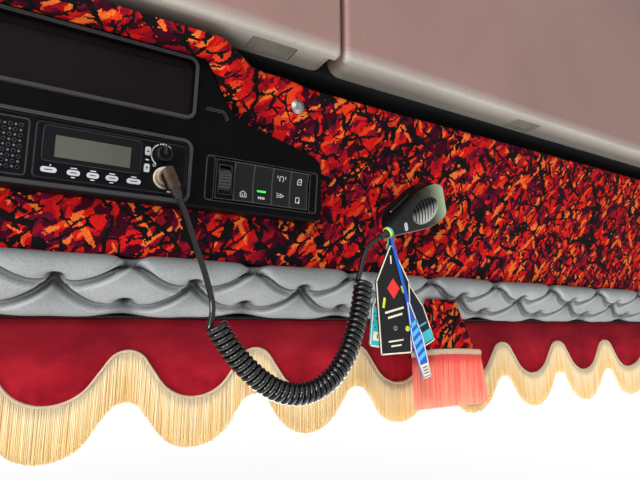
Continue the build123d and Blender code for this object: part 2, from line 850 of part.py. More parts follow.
def cord_stretch(points, diameter, name):
    """Straight runs joined by tangent arcs, swept with a round section."""
    spots = [Vector(p) for p in points]
    radii = []
    for before, corner, after in zip(spots, spots[1:], spots[2:]):
        turn = (corner - before).get_angle(after - corner)
        shorter = min((corner - before).length, (after - corner).length)
        radii.append(0.45 * shorter / tan(radians(turn / 2)))
    print(name, "radii", [round(r, 1) for r in radii])
    with BuildPart() as stretch:
        with BuildLine() as route:
            FilletPolyline(*spots, radius=radii)
        with BuildSketch(Plane(origin=spots[0], z_dir=spots[1] - spots[0])):
            Circle(diameter / 2)
        sweep(path=route.wires()[0])
    length = route.wires()[0].length
    section = 3.14159 * diameter ** 2 / 4
    print(name, "length", round(length, 1), "volume ratio",
          round(stretch.part.volume / (section * length), 4))
    save(stretch.part, name)


cord_stretch(lead_points, cord_diameter, "cord_lead")
cord_stretch(coil_points, coil_diameter, "cord_coil")
cord_stretch(tail_points, cord_diameter, "cord_tail")

# Hand microphone: front shell with slots, back shell, talk key, relief, hang bracket
mic_normal = Vector(0.075, -0.92, -0.385)
mic_normal = (mic_normal - mic_axis * mic_normal.dot(mic_axis)).normalized()
mic_centre = mic_neck + mic_axis * (mic_length / 2)
mic_plane = Plane(origin=mic_centre, x_dir=mic_axis, z_dir=mic_normal)
grille_along = 11.0
grille_length = 40.0
grille_width = 30.0
grille_recess = 2.2
grille_slots = 7
grille_pitch = 4.6
slot_width = 2.0
slot_depth = 1.4


def mic_outline(inset):
    """Half of the microphone's front view and its mirror image."""
    end = mic_length / 2 - inset
    side = mic_width / 2 - inset
    neck = mic_neck_width / 2 - inset
    half = FilletPolyline(
        (-end, 0), (-end, neck), (end * widest_share, side), (end, side * 0.86), (end, 0),
        radius=[3, 60, 9],
    )
    mirror(half, about=Plane.XZ)


with BuildPart() as mic_front:
    with BuildSketch(mic_plane.offset(-mic_front_thickness)):
        with BuildLine():
            mic_outline(0)
        make_face()
    extrude(amount=mic_front_thickness)
    front = mic_front.faces().sort_by(Axis((0, 0, 0), mic_plane.z_dir))[-1]
    chamfer(front.edges(), mic_bevel)
    with BuildSketch(mic_plane):
        with Locations((grille_along, 0)):
            Ellipse(grille_length / 2, grille_width / 2)
    extrude(amount=-grille_recess, mode=Mode.SUBTRACT)
    with BuildSketch(mic_plane.offset(-grille_recess)):
        for k in range(grille_slots):
            off = (k - (grille_slots - 1) / 2) * grille_pitch
            half = grille_width / 2 * (1 - (2 * off / grille_length) ** 2) ** 0.5 - 1.6
            with BuildLine():
                ThreePointArc(
                    (grille_along + off - 1.6, -half), (grille_along + off + 0.8, 0),
                    (grille_along + off - 1.6, half),
                )
            trace(line_width=slot_width)
    extrude(amount=-slot_depth, mode=Mode.SUBTRACT)
save(mic_front.part, "mic_front")

# The back shell is thin at the neck and swells towards the middle
mic_side_plane = Plane(origin=mic_centre, x_dir=mic_axis, z_dir=-mic_plane.y_dir)
back_depth = mic_front_thickness + mic_back_thickness
neck_depth = mic_front_thickness + mic_neck_thickness
with BuildPart() as mic_back:
    with BuildSketch(mic_plane.offset(-mic_front_thickness)):
        with BuildLine():
            mic_outline(0)
        make_face()
    extrude(amount=-mic_back_thickness)
    back = mic_back.faces().sort_by(Axis((0, 0, 0), mic_plane.z_dir))[0]
    fillet(back.edges(), mic_back_round)
    with BuildSketch(mic_side_plane.offset(-mic_width / 2)):
        end = mic_length / 2
        with BuildLine():
            Polyline((end - mic_end_slope, -back_depth), (end, -back_depth + mic_back_round),
                     (end, -mic_front_thickness), (-end, -mic_front_thickness),
                     (-end, -neck_depth))
            ThreePointArc((-end, -neck_depth),
                          (-end + 0.4 * mic_swell, -back_depth + mic_back_round),
                          (-end + mic_swell, -back_depth))
            Line((-end + mic_swell, -back_depth), (end - mic_end_slope, -back_depth))
        make_face()
    extrude(amount=mic_width, mode=Mode.INTERSECT)
save(mic_back.part, "mic_back")

with BuildPart() as mic_relief:
    with Locations(Plane(origin=mic_neck, z_dir=-mic_axis)):
        Cone(mic_relief_radius, relief_end_radius, mic_relief_length,
             align=(Align.CENTER, Align.CENTER, Align.MIN))
save(mic_relief.part, "mic_relief")

# Talk key on the upper long side of the microphone, which widens from the neck
side_run = (1 + widest_share) * mic_length / 2
side_turn = atan2((mic_width - mic_neck_width) / 2, side_run)
side_middle = Vector((side_run - mic_length) / 2, (mic_neck_width + mic_width) / 4,
                     -mic_front_thickness - key_depth)
key_normal = mic_plane.y_dir * cos(side_turn) - mic_axis * sin(side_turn)
key_plane = Plane(
    origin=mic_plane.from_local_coords(side_middle) + key_normal * soft_gap,
    x_dir=mic_axis * cos(side_turn) + mic_plane.y_dir * sin(side_turn), z_dir=key_normal,
)
with BuildPart() as mic_key:
    with BuildSketch(key_plane):
        RectangleRounded(key_length, key_width, 3)
    extrude(amount=key_height)
    chamfer(mic_key.faces().sort_by(Axis((0, 0, 0), key_plane.z_dir))[-1].edges(), 1.2)
save(mic_key.part, "mic_key")

# Hang stud on the back of the microphone and the bracket on the fascia that takes it
stud_length = 7.0
stud_along = -4.0
stud_radius = 3.5
stud_head_radius = 6.5
back_plane = mic_plane.offset(-mic_front_thickness - mic_back_thickness)
with BuildPart() as mic_stud:
    with BuildSketch(back_plane):
        with Locations((stud_along, 0)):
            Circle(stud_radius)
    extrude(amount=-stud_length)
    with BuildSketch(back_plane.offset(-stud_length)):
        with Locations((stud_along, 0)):
            Circle(stud_head_radius)
    extrude(amount=-2)
save(mic_stud.part, "mic_stud")

bracket_thickness = 2.0
bracket_start = 2.5
bracket_half = 12.0
base_centre = fascia_plane.to_local_coords(back_plane.from_local_coords(
    Vector(stud_along, -bracket_half, -10)))
with BuildPart() as mic_bracket:
    with BuildSketch(back_plane.offset(-bracket_start)):
        with Locations((stud_along, 0)):
            Rectangle(2 * bracket_half, 2 * bracket_half)
            Circle(stud_radius + 0.3, mode=Mode.SUBTRACT)
            with Locations((0, bracket_half / 2)):
                Rectangle(2 * stud_radius + 0.6, bracket_half, mode=Mode.SUBTRACT)
    extrude(amount=-bracket_thickness)
    with BuildSketch(back_plane.offset(-bracket_start)):
        with Locations((stud_along, -bracket_half + bracket_thickness / 2)):
            Rectangle(2 * bracket_half, bracket_thickness)
    extrude(amount=-30)
    split(bisect_by=fascia_plane, keep=Keep.TOP)
    with BuildSketch(fascia_plane):
        with Locations((base_centre.X, base_centre.Y)):
            RectangleRounded(34, 22, 3)
    extrude(amount=bracket_thickness)
save(mic_bracket.part, "mic_bracket")

# Switch banks: a carrier tray on each side, rockers and dimmer right, blanks left
tray_back = -14.0
tray_floor = -4.0
rocker_pitch = 20.1
rocker_width = 19.7
rocker_height = 37.5
first_rocker_u = 148.4
dimmer_u = 129.2
wheel_radius = 13.0
wheel_width = 11.0
wheel_z = -11.0
wheel_ribs = 26
axle_radius = 1.5
side_strip = 8.0


def side_plane(u):
    """Plane across the console at u: its x runs up the console, its y points outwards."""
    return Plane(
        origin=console_plane.from_local_coords(Vector(u, 0, 0)),
        x_dir=console_plane.y_dir, z_dir=(1, 0, 0),
    )


with BuildPart() as switch_carriers:
    for hand in (1, -1):
        with BuildSketch(console_plane.offset(tray_back)):
            with Locations((hand * bank_u, bank_v)):
                RectangleRounded(bank_width - 0.6, bank_height - 0.6, bank_corner - 0.3)
        extrude(amount=tray_floor - tray_back)
        with BuildSketch(console_plane.offset(tray_floor)):
            for strip_u in (bank_u - bank_width / 2 + 0.3 + side_strip / 2,
                            bank_u + bank_width / 2 - 0.3 - side_strip / 2):
                with Locations((hand * strip_u, bank_v)):
                    RectangleRounded(side_strip, bank_height - 0.6, bank_corner - 0.3)
        extrude(amount=-tray_floor - 0.6)
    with BuildSketch(console_plane.offset(tray_floor)):
        with Locations((dimmer_u, bank_v)):
            Rectangle(rocker_width - 1.4, rocker_height)
    extrude(amount=-tray_floor + 0.4)
    with BuildSketch(console_plane.offset(tray_back)):
        with Locations((dimmer_u, bank_v)):
            Rectangle(wheel_width + 1, 2 * wheel_radius + 1.2)
    extrude(amount=0.4 - tray_back, mode=Mode.SUBTRACT)
    with BuildSketch(side_plane(dimmer_u - wheel_width / 2 - 2.5)):
        with Locations((bank_v, wheel_z)):
            Circle(axle_radius + 0.1)
    extrude(amount=wheel_width + 5, mode=Mode.SUBTRACT)
save(switch_carriers.part, "switch_carriers")

with BuildPart() as dimmer_wheel:
    with BuildSketch(side_plane(dimmer_u - wheel_width / 2)):
        with Locations((bank_v, wheel_z)):
            Circle(wheel_radius - 0.8)
            with PolarLocations(wheel_radius - 0.8, wheel_ribs):
                Rectangle(1.6, 1.3)
    extrude(amount=wheel_width)
    with BuildSketch(side_plane(dimmer_u - wheel_width / 2 - 2.2)):
        with Locations((bank_v, wheel_z)):
            Circle(axle_radius)
    extrude(amount=wheel_width + 4.4)
save(dimmer_wheel.part, "dimmer_wheel")

# Rockers with a hollowed front, pressed at one end
with BuildPart() as switch_rockers:
    for k in range(4):
        with BuildSketch(side_plane(first_rocker_u + k * rocker_pitch - rocker_width / 2)):
            low, high = bank_v - rocker_height / 2, bank_v + rocker_height / 2
            with BuildLine():
                ThreePointArc((low, 1.0), (bank_v + 1, -1.4), (high, 1.8))
                Polyline((high, 1.8), (high, tray_floor), (low, tray_floor), (low, 1.0))
            make_face()
        extrude(amount=rocker_width)
save(switch_rockers.part, "switch_rockers")

with BuildPart() as switch_blanks:
    for k in range(5):
        u = -dimmer_u - k * rocker_pitch
        with BuildSketch(console_plane.offset(tray_floor)):
            with Locations((u, bank_v)):
                Rectangle(rocker_width - 1, rocker_height)
        extrude(amount=-tray_floor - 0.4)
        with BuildSketch(console_plane.offset(-0.4)):
            with Locations((u, bank_v)):
                Rectangle(rocker_width - 6, rocker_height - 6)
        extrude(amount=-0.6, mode=Mode.SUBTRACT)
save(switch_blanks.part, "switch_blanks")

# Plain domed stud on the plush beside the console
stud_u = 206.0
stud_v = -4.0
with BuildPart() as trim_stud:
    with BuildSketch(fascia_plane):
        with Locations((stud_u, stud_v)):
            Circle(7.5)
    extrude(amount=4)
    dome = trim_stud.faces().sort_by(Axis((0, 0, 0), fascia_plane.z_dir))[-1]
    chamfer(dome.edges(), 2.4, 3.6)
save(trim_stud.part, "trim_stud")

# Ring round the microphone's relief, and the hanging tags
ring_centre = mic_neck - mic_axis * 3.0
ring_radius = 5.5
ring_wire = 0.8
with BuildPart() as tag_ring:
    with BuildSketch(Plane(origin=ring_centre, z_dir=mic_axis).offset(-ring_wire)):
        Circle(ring_radius + ring_wire)
        Circle(ring_radius - ring_wire, mode=Mode.SUBTRACT)
    extrude(amount=2 * ring_wire)
save(tag_ring.part, "tag_ring")

# name, layer towards the driver, swing in degrees, length, width, strap length
tags = [
    ("black", 1, 2.0, 124.0, 46.0, 6.0),
    ("teal", 0, -9.0, 118.0, 26.0, 36.0),
    ("blue", 2, 16.5, 156.0, 16.0, 70.0),
    ("rear", -1, 25.0, 126.0, 24.0, 44.0),
]
tag_top_z = ring_centre.Z - ring_radius - ring_wire - soft_gap
for name, layer, swing, length, width, strap in tags:
    tag_plane = Plane(
        origin=(ring_centre.X, ring_centre.Y - layer * (tag_thickness + soft_gap), tag_top_z),
        x_dir=(cos(radians(swing)), 0, sin(radians(swing))), z_dir=(0, -1, 0),
    )
    shoulder = min(42.0, length - strap - 20)
    with BuildPart() as tag:
        with BuildSketch(tag_plane):
            with BuildLine():
                Polyline(
                    (-1.5, 0), (-1.5, -strap), (-width / 2, -strap - shoulder),
                    (-width / 2 + 2, -length), (width / 2 - 2, -length),
                    (width / 2, -strap - shoulder), (1.5, -strap), (1.5, 0), close=True,
                )
            make_face()
            fillet(vertices().group_by(Axis.Y)[0], 4)
        extrude(amount=tag_thickness)
    save(tag.part, f"tag_{name}")

# Plush pennant in front of the pad, with its own fringe
pennant_top_half = 23.6
pennant_bottom_half = 57.5
pennant_top_z = pad_bottom_z + pennant_lap
pennant_bottom_z = pennant_top_z - pennant_height
pennant_fringe_bottom_z = pennant_bottom_z - pennant_fringe_length
pennant_shift = 4.0
face_slope = (pad_toe_y - pad_front_y) / (pad_lip_z - pad_bottom_z)
pennant_y = pad_front_y + (pad_lip_z - pennant_top_z) * face_slope - soft_gap
with BuildPart() as pennant:
    with BuildSketch(Plane.XZ.offset(-pennant_y)):
        with BuildLine():
            Polyline(
                (pennant_x - pennant_top_half, pennant_top_z),
                (pennant_x + pennant_top_half, pennant_top_z),
                (pennant_x + pennant_shift + pennant_bottom_half, pennant_bottom_z),
                (pennant_x + pennant_shift - pennant_bottom_half, pennant_bottom_z), close=True,
            )
        make_face()
    extrude(amount=pennant_thickness)
save(pennant.part, "pennant")

with BuildPart() as pennant_fringe:
    fringe_face = pennant_y - soft_gap - pennant_thickness
    with BuildSketch(Plane.XZ.offset(-fringe_face)):
        middle = pennant_x + pennant_shift
        with BuildLine():
            Polyline(
                (middle - pennant_bottom_half - 1, pennant_bottom_z + pennant_fringe_lap),
                (middle + pennant_bottom_half + 1, pennant_bottom_z + pennant_fringe_lap),
                (middle + pennant_bottom_half + 9, pennant_fringe_bottom_z),
                (middle - pennant_bottom_half + 5, pennant_fringe_bottom_z), close=True,
            )
        make_face()
    extrude(amount=4)
save(pennant_fringe.part, "pennant_fringe")
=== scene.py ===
"""Looks of the decorated overhead header of a truck cab, in metres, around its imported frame."""

from math import cos, pi, radians, sin, sqrt, tan

import bpy
import numpy as np
from mathutils import Matrix, Vector


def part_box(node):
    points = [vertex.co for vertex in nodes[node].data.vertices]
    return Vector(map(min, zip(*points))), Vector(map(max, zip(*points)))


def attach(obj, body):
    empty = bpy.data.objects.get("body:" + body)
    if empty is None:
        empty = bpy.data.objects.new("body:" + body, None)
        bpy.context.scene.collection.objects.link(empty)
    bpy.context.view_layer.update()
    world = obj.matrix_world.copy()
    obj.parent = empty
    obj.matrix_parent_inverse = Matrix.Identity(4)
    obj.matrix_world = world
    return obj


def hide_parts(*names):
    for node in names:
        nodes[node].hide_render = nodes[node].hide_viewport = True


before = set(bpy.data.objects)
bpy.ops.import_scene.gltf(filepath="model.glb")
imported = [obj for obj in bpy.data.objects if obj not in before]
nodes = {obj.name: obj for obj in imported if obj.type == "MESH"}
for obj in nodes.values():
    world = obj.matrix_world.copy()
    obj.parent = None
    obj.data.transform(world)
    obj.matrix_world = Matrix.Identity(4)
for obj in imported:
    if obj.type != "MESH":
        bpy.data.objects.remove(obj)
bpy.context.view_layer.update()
rng = np.random.default_rng(7)
MM = 0.001

# Camera: place, turn to the right, tilt up, focal length on a 36 mm sensor
CAMERA_PLACE = Vector((-0.0215, -0.755, -0.450))
CAMERA_YAW = radians(30.3)
CAMERA_PITCH = radians(10.0)
CAMERA_LENS = 27.84

# Leaning planes of the fascia and the console: a point in front of X = 0 and the lean
FASCIA_TOP = Vector((0, -0.319, -0.216))
FASCIA_HEIGHT = 0.169
FASCIA_LEAN = np.arctan2(0.042, FASCIA_HEIGHT)
FASCIA_LENGTH = FASCIA_HEIGHT / cos(FASCIA_LEAN)
CONSOLE_TOP = Vector((0, -0.330, -0.200))
CONSOLE_LEAN = radians(6.0)

# Microphone cord
CORD_DIAMETER = 0.0054
COIL_DIAMETER = 0.021
COIL_PITCH = 0.0057

# Hand microphone: neck, direction from the neck to the far end, normal of its front
MIC_NECK = Vector((0.315, -0.333, -0.346))
MIC_AXIS = Vector((0.853, -0.142, 0.502)).normalized()
MIC_NORMAL = Vector((0.075, -0.92, -0.385))
MIC_NORMAL = (MIC_NORMAL - MIC_AXIS * MIC_NORMAL.dot(MIC_AXIS)).normalized()
MIC_LENGTH = 0.085


def camera():
    """Camera at the photograph's viewpoint."""
    right = Vector((cos(CAMERA_YAW), -sin(CAMERA_YAW), 0))
    ahead = Vector((
        sin(CAMERA_YAW) * cos(CAMERA_PITCH), cos(CAMERA_YAW) * cos(CAMERA_PITCH),
        sin(CAMERA_PITCH),
    ))
    up = right.cross(ahead)
    data = bpy.data.cameras.new("camera")
    data.lens = CAMERA_LENS
    data.sensor_width = 36.0
    data.clip_start = 0.01
    made = bpy.data.objects.new("camera", data)
    turn = Matrix((right, up, -ahead)).transposed()
    made.matrix_world = Matrix.Translation(CAMERA_PLACE) @ turn.to_4x4()
    bpy.context.scene.collection.objects.link(made)
    bpy.context.scene.camera = made


def show(piece):
    """Puts a new object into the scene."""
    bpy.context.scene.collection.objects.link(piece)
    return piece


def dress(piece, material, body="root"):
    """Gives a new piece its material and the body that carries it."""
    piece.data.materials.clear()
    piece.data.materials.append(material)
    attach(piece, body)
    return piece


def mesh_piece(name, points, faces, smooth=True):
    """A mesh object from an array of points and a list of faces."""
    mesh = bpy.data.meshes.new(name)
    mesh.from_pydata(np.asarray(points, float).reshape(-1, 3).tolist(), [], faces)
    mesh.validate()
    mesh.polygons.foreach_set("use_smooth", [smooth] * len(mesh.polygons))
    return show(bpy.data.objects.new(name, mesh))


def grid_faces(rows, columns, first=0, flip=False, keep=None):
    """Quads of a grid of points numbered row by row."""
    r, c = np.meshgrid(np.arange(rows - 1), np.arange(columns - 1), indexing="ij")
    a = first + r * columns + c
    quads = np.stack([a, a + 1, a + columns + 1, a + columns], axis=-1)
    if flip:
        quads = quads[..., ::-1]
    if keep is not None:
        quads = quads[keep]
    return quads.reshape(-1, 4).tolist()


def slab(name, front, back):
    """A closed sheet between two grids of points, both seen from the front, rows going down."""
    rows, columns, _ = front.shape
    count = rows * columns
    faces = grid_faces(rows, columns, flip=True) + grid_faces(rows, columns, count)
    rim = (
        [(0, c) for c in range(columns)]
        + [(r, columns - 1) for r in range(1, rows)]
        + [(rows - 1, c) for c in range(columns - 2, -1, -1)]
        + [(r, 0) for r in range(rows - 2, 0, -1)]
    )
    spots = [r * columns + c for r, c in rim]
    for a, b in zip(spots, spots[1:] + spots[:1]):
        faces.append([a, b, b + count, a + count])
    return mesh_piece(name, np.concatenate([front.reshape(-1, 3), back.reshape(-1, 3)]), faces)


def tubes(name, lines, radii, sides):
    """Closed tubes along many lines with equally many points: array (line, point, xyz)."""
    count, stations, _ = lines.shape
    along = np.gradient(lines, axis=1)
    along /= np.linalg.norm(along, axis=2, keepdims=True)
    across = np.cross(along, np.array([0.0, 1.0, 0.0]))
    across /= np.linalg.norm(across, axis=2, keepdims=True)
    outward = np.cross(along, across)
    turn = np.linspace(0, 2 * pi, sides, endpoint=False)
    ring = (
        across[:, :, None] * np.cos(turn)[None, None, :, None]
        + outward[:, :, None] * np.sin(turn)[None, None, :, None]
    )
    points = lines[:, :, None] + ring * radii[:, :, None, None]
    k, s, m = np.meshgrid(
        np.arange(count), np.arange(stations - 1), np.arange(sides), indexing="ij")
    base = (k * stations + s) * sides
    after = (m + 1) % sides
    faces = np.stack([base + m, base + after, base + sides + after, base + sides + m], -1)
    caps = np.arange(count)[:, None] * stations * sides + np.arange(sides)[None]
    faces = faces.reshape(-1, 4).tolist() + caps[:, ::-1].tolist()
    faces += (caps + (stations - 1) * sides).tolist()
    return mesh_piece(name, points, faces)


# Short ways to write materials

def surface(name, color, roughness, **sockets):
    """A material with a Principled shader; returns it with its node tree and shader."""
    material = bpy.data.materials.new(name)
    material.use_nodes = True
    shader = material.node_tree.nodes["Principled BSDF"]
    shader.inputs["Base Color"].default_value = (*color, 1)
    shader.inputs["Roughness"].default_value = roughness
    for key, value in sockets.items():
        shader.inputs[key.replace("_", " ")].default_value = value
    return material, material.node_tree, shader


def add(tree, kind, inputs=None, **settings):
    """One shader node with its settings, and its inputs as values or links."""
    made = tree.nodes.new("ShaderNode" + kind)
    for key, value in settings.items():
        setattr(made, key, value)
    for key, value in (inputs or {}).items():
        if isinstance(value, bpy.types.NodeSocket):
            tree.links.new(value, made.inputs[key])
        else:
            made.inputs[key].default_value = value
    return made


def place(tree, scale=(1, 1, 1), turn=(0, 0, 0)):
    """Coordinates in metres, stretched and turned."""
    spot = add(tree, "TexCoord").outputs["Object"]
    if tuple(scale) == (1, 1, 1) and tuple(turn) == (0, 0, 0):
        return spot
    return add(tree, "Mapping", {"Vector": spot, "Scale": scale, "Rotation": turn}).outputs[0]


def noise(tree, vector, scale, detail=2.0, roughness=0.5):
    """Soft noise, with so many cells a metre."""
    return add(tree, "TexNoise", {
        "Vector": vector, "Scale": scale, "Detail": detail, "Roughness": roughness,
    }).outputs["Fac"]


def maths(tree, operation, *values):
    """One operation on numbers and links."""
    return add(tree, "Math", dict(enumerate(values)), operation=operation).outputs[0]


def ramp(tree, factor, stops, interpolation="LINEAR"):
    """Colour from a number: stops are (place, colour)."""
    made = add(tree, "ValToRGB", {"Fac": factor})
    elements = made.color_ramp.elements
    made.color_ramp.interpolation = interpolation
    while len(elements) < len(stops):
        elements.new(0.5)
    for element, (spot, color) in zip(elements, stops):
        element.position = spot
    for element, (spot, color) in zip(elements, stops):
        element.color = (*color, 1)
    return made.outputs["Color"]


def mix(tree, factor, first, second, blend="MIX"):
    """Colour between two others, each a link or a colour."""
    made = add(tree, "Mix", data_type="RGBA", blend_type=blend)
    for socket, value in ((made.inputs[0], factor), (made.inputs[6], first),
                          (made.inputs[7], second)):
        if isinstance(value, bpy.types.NodeSocket):
            tree.links.new(value, socket)
        else:
            socket.default_value = (*value, 1) if hasattr(value, "__len__") else value
    return made.outputs[2]


def bump(tree, shader, height, distance):
    """Relief so many metres deep."""
    made = add(tree, "Bump", {"Height": height, "Distance": distance, "Strength": 1.0})
    tree.links.new(made.outputs[0], shader.inputs["Normal"])


def color_from(tree, shader, color):
    """The shader's base colour from a link."""
    tree.links.new(color, shader.inputs["Base Color"])


def fade(tree, value, start, end, first=0.0, last=1.0, curve="LINEAR"):
    """From first to last while the value goes from start to end."""
    return add(tree, "MapRange", {
        "Value": value, "From Min": start, "From Max": end, "To Min": first, "To Max": last,
    }, interpolation_type=curve).outputs[0]


def gloss_from(tree, shader, cloud, low, high):
    """Roughness that follows a cloudy noise."""
    tree.links.new(fade(tree, cloud, 0.3, 0.7, low, high), shader.inputs["Roughness"])


def vectors(tree, operation, first, second, result="Vector"):
    """One operation on two vectors."""
    return add(tree, "VectorMath", {0: first, 1: second}, operation=operation).outputs[result]


def dot(tree, vector, direction):
    """How far a vector reaches along a direction."""
    return vectors(tree, "DOT_PRODUCT", vector, direction, "Value")


def part_of(tree, vector, axis):
    """A vector's X, Y or Z."""
    return add(tree, "SeparateXYZ", {0: vector}).outputs[axis]


def attribute(tree, name):
    """A number that the mesh keeps at each of its points."""
    return add(tree, "Attribute", attribute_name=name).outputs["Fac"]


# Reach of the painted highlight on edges, and the heights over the console's face at which its rims
# and their painted highlight begin
EDGE_HIGHLIGHT_RADIUS = 0.0013
RIM_HIGHLIGHT_HEIGHTS = (0.0008, 0.0016)


def edge_highlight_share(tree):
    """Near 1 on sharp and rounded edges, 0 on flats: where the painted edge highlight goes."""
    rounded = add(tree, "Bevel", {"Radius": EDGE_HIGHLIGHT_RADIUS}, samples=4).outputs[0]
    true = add(tree, "NewGeometry").outputs["Normal"]
    return fade(tree, dot(tree, rounded, true), 0.80, 0.99, 1.0, 0.0)


def grained(name, color, roughness, grain=1400.0, depth=0.00006, spread=0.12, edge=None, **sockets):
    """Moulded plastic: fine grain, faint cloudiness in colour and gloss, and a painted highlight on
    its edges where an edge colour is given.
    """
    material, tree, shader = surface(name, color, roughness, **sockets)
    spot = place(tree)
    cloud = noise(tree, spot, 26.0, 3.0)
    darker = tuple(c * (1 - spread) for c in color)
    lighter = tuple(c * (1 + spread) for c in color)
    tinted = ramp(tree, cloud, [(0.3, darker), (0.7, lighter)])
    # Painted highlight on edges, where an edge colour is given
    if edge:
        tinted = mix(tree, edge_highlight_share(tree), tinted, edge)
    color_from(tree, shader, tinted)
    gloss_from(tree, shader, cloud, roughness - 0.04, roughness + 0.05)
    bump(tree, shader, noise(tree, spot, grain, 2.0), depth)
    return material


def console_look():
    """Moulded black bezel; a painted highlight turns the raised rims round its bays a satin grey.
    """
    material = grained("console_plastic", (0.0022, 0.0021, 0.0025), 0.42, 1500.0, 0.00007,
                       edge=(0.100, 0.095, 0.100), Specular_IOR_Level=0.03)
    tree = material.node_tree
    shader = tree.nodes["Principled BSDF"]
    # Painted highlight: the raised rims round the bays turn satin grey
    raised = fade(tree, height_off_console(tree), *RIM_HIGHLIGHT_HEIGHTS)
    plain = shader.inputs["Base Color"].links[0].from_socket
    color_from(tree, shader, mix(tree, raised, plain, (0.042, 0.039, 0.042)))
    return material


def height_off_console(tree):
    """Distance in metres in front of the console's leaning face."""
    off_panel = on_plane(CONSOLE_TOP, CONSOLE_LEAN, 0, 0, 1) - on_plane(
        CONSOLE_TOP, CONSOLE_LEAN, 0, 0, 0)
    along = dot(tree, place(tree), tuple(off_panel))
    return maths(tree, "SUBTRACT", along, float(off_panel @ np.array(CONSOLE_TOP)))


# Plush, in metres and cells a metre: size of one tuft of pile, tilt of the shared height
PLUSH_STEP = 0.0011
PLUSH_TILT = (-0.74, 0.82)
# Thin strokes: lean from upright in degrees, scale, limit of their random value, colour
PLUSH_THIN = [
    (50, 200.0, 0.90, (0.74, 0.045, 0.010)), (42, 215.0, 0.90, (0.82, 0.16, 0.026)),
    (-35, 220.0, 0.96, (0.82, 0.14, 0.022)),
]
# Black branches: scale, lean, squeeze, scale and limit of their breaks, greatest half width
PLUSH_VEINS = [
    (27.0, 38, 0.55, 30.0, 0.485, 0.042), (40.0, -40, 0.50, 38.0, 0.50, 0.046),
    (66.0, 62, 0.50, 52.0, 0.46, 0.058),
]


def plush_look():
    """Woven plush: black branches over wine, red and orange strokes with stepped edges."""
    material, tree, shader = surface(
        "plush", (0.4, 0.01, 0.01), 0.9, Specular_IOR_Level=0.05, Sheen_Weight=0.01,
        Sheen_Roughness=0.5, Sheen_Tint=(1.0, 0.35, 0.25, 1))
    # The pattern runs over folds as well: height and depth share one coordinate
    spot = add(tree, "SeparateXYZ", {0: place(tree)}).outputs
    up = maths(tree, "MULTIPLY_ADD", spot["Y"], PLUSH_TILT[0],
               maths(tree, "MULTIPLY", spot["Z"], PLUSH_TILT[1]))
    flat = add(tree, "CombineXYZ", {"X": spot["X"], "Z": up}).outputs[0]
    step = vectors(tree, "SNAP", flat, [PLUSH_STEP] * 3)

    def drifted(scale, reach):
        """The stepped coordinates, each moved about by a soft field."""
        field = add(tree, "TexNoise", {"Vector": step, "Scale": scale, "Detail": 2.0})
        drift = vectors(tree, "SUBTRACT", field.outputs["Color"], (0.5, 0.5, 0.5))
        drift = vectors(tree, "MULTIPLY", drift, [reach] * 3)
        return vectors(tree, "ADD", step, drift)

    def turned(vector, angle, squeeze):
        """Coordinates whose cells are long in a direction that leans so far from upright."""
        return add(tree, "Mapping", {
            "Vector": vector, "Rotation": (0, radians(angle), 0), "Scale": (1.0, 1.0, 1 / squeeze),
        }, vector_type="TEXTURE").outputs[0]

    rough, wide = drifted(75.0, 0.009), drifted(30.0, 0.030)

    def cells(angle, scale, squeeze=0.36):
        """Long cells that lean so far, each with a random value of its own."""
        made = add(tree, "TexVoronoi", {
            "Vector": turned(rough, angle, squeeze), "Scale": scale, "Randomness": 1.0})
        return add(tree, "SeparateColor", {0: made.outputs["Color"]}).outputs["Red"]

    either = maths(tree, "GREATER_THAN", noise(tree, wide, 40.0, 0.0), 0.5)
    pick = add(tree, "Mix", {0: either, 2: cells(52, 130.0), 3: cells(24, 140.0)}).outputs[0]
    heat = maths(tree, "MULTIPLY_ADD", noise(tree, wide, 24.0, 1.0), 0.7,
                 maths(tree, "MULTIPLY_ADD", pick, 0.80, -0.33))
    patches = ramp(tree, heat, [
        (0.0, (0.045, 0.002, 0.010)), (0.20, (0.120, 0.003, 0.020)), (0.33, (0.26, 0.004, 0.014)),
        (0.46, (0.42, 0.006, 0.009)), (0.58, (0.62, 0.010, 0.009)), (0.84, (0.78, 0.050, 0.010)),
    ], "CONSTANT")

    for angle, scale, limit, color in PLUSH_THIN:
        few = maths(tree, "GREATER_THAN", cells(angle, scale, 0.24), limit)
        patches = mix(tree, few, patches, color)

    def veins(scale, swing, squeeze, seed_scale, limit, most):
        """Branching lines on the borders of stretched cells, at most so wide, broken in places."""
        edge = add(tree, "TexVoronoi", {"Vector": turned(rough, swing, squeeze), "Scale": scale},
                   feature="DISTANCE_TO_EDGE").outputs["Distance"]
        reach = maths(tree, "MULTIPLY_ADD", noise(tree, wide, seed_scale, 1.0), 1.1, -1.1 * limit)
        return maths(tree, "LESS_THAN", edge, maths(tree, "MINIMUM", reach, most))

    black = 0.0
    for vein in PLUSH_VEINS:
        black = maths(tree, "MAXIMUM", black, veins(*vein))
    colored = mix(tree, black, patches, (0.006, 0.005, 0.006))
    pile = noise(tree, place(tree), 900.0, 2.0)
    shade = ramp(tree, pile, [(0.3, (0.60, 0.60, 0.60)), (0.7, (1.05, 1.05, 1.05))])
    color_from(tree, shader, mix(tree, 1.0, colored, shade, "MULTIPLY"))
    bump(tree, shader, pile, 0.0007)
    return material


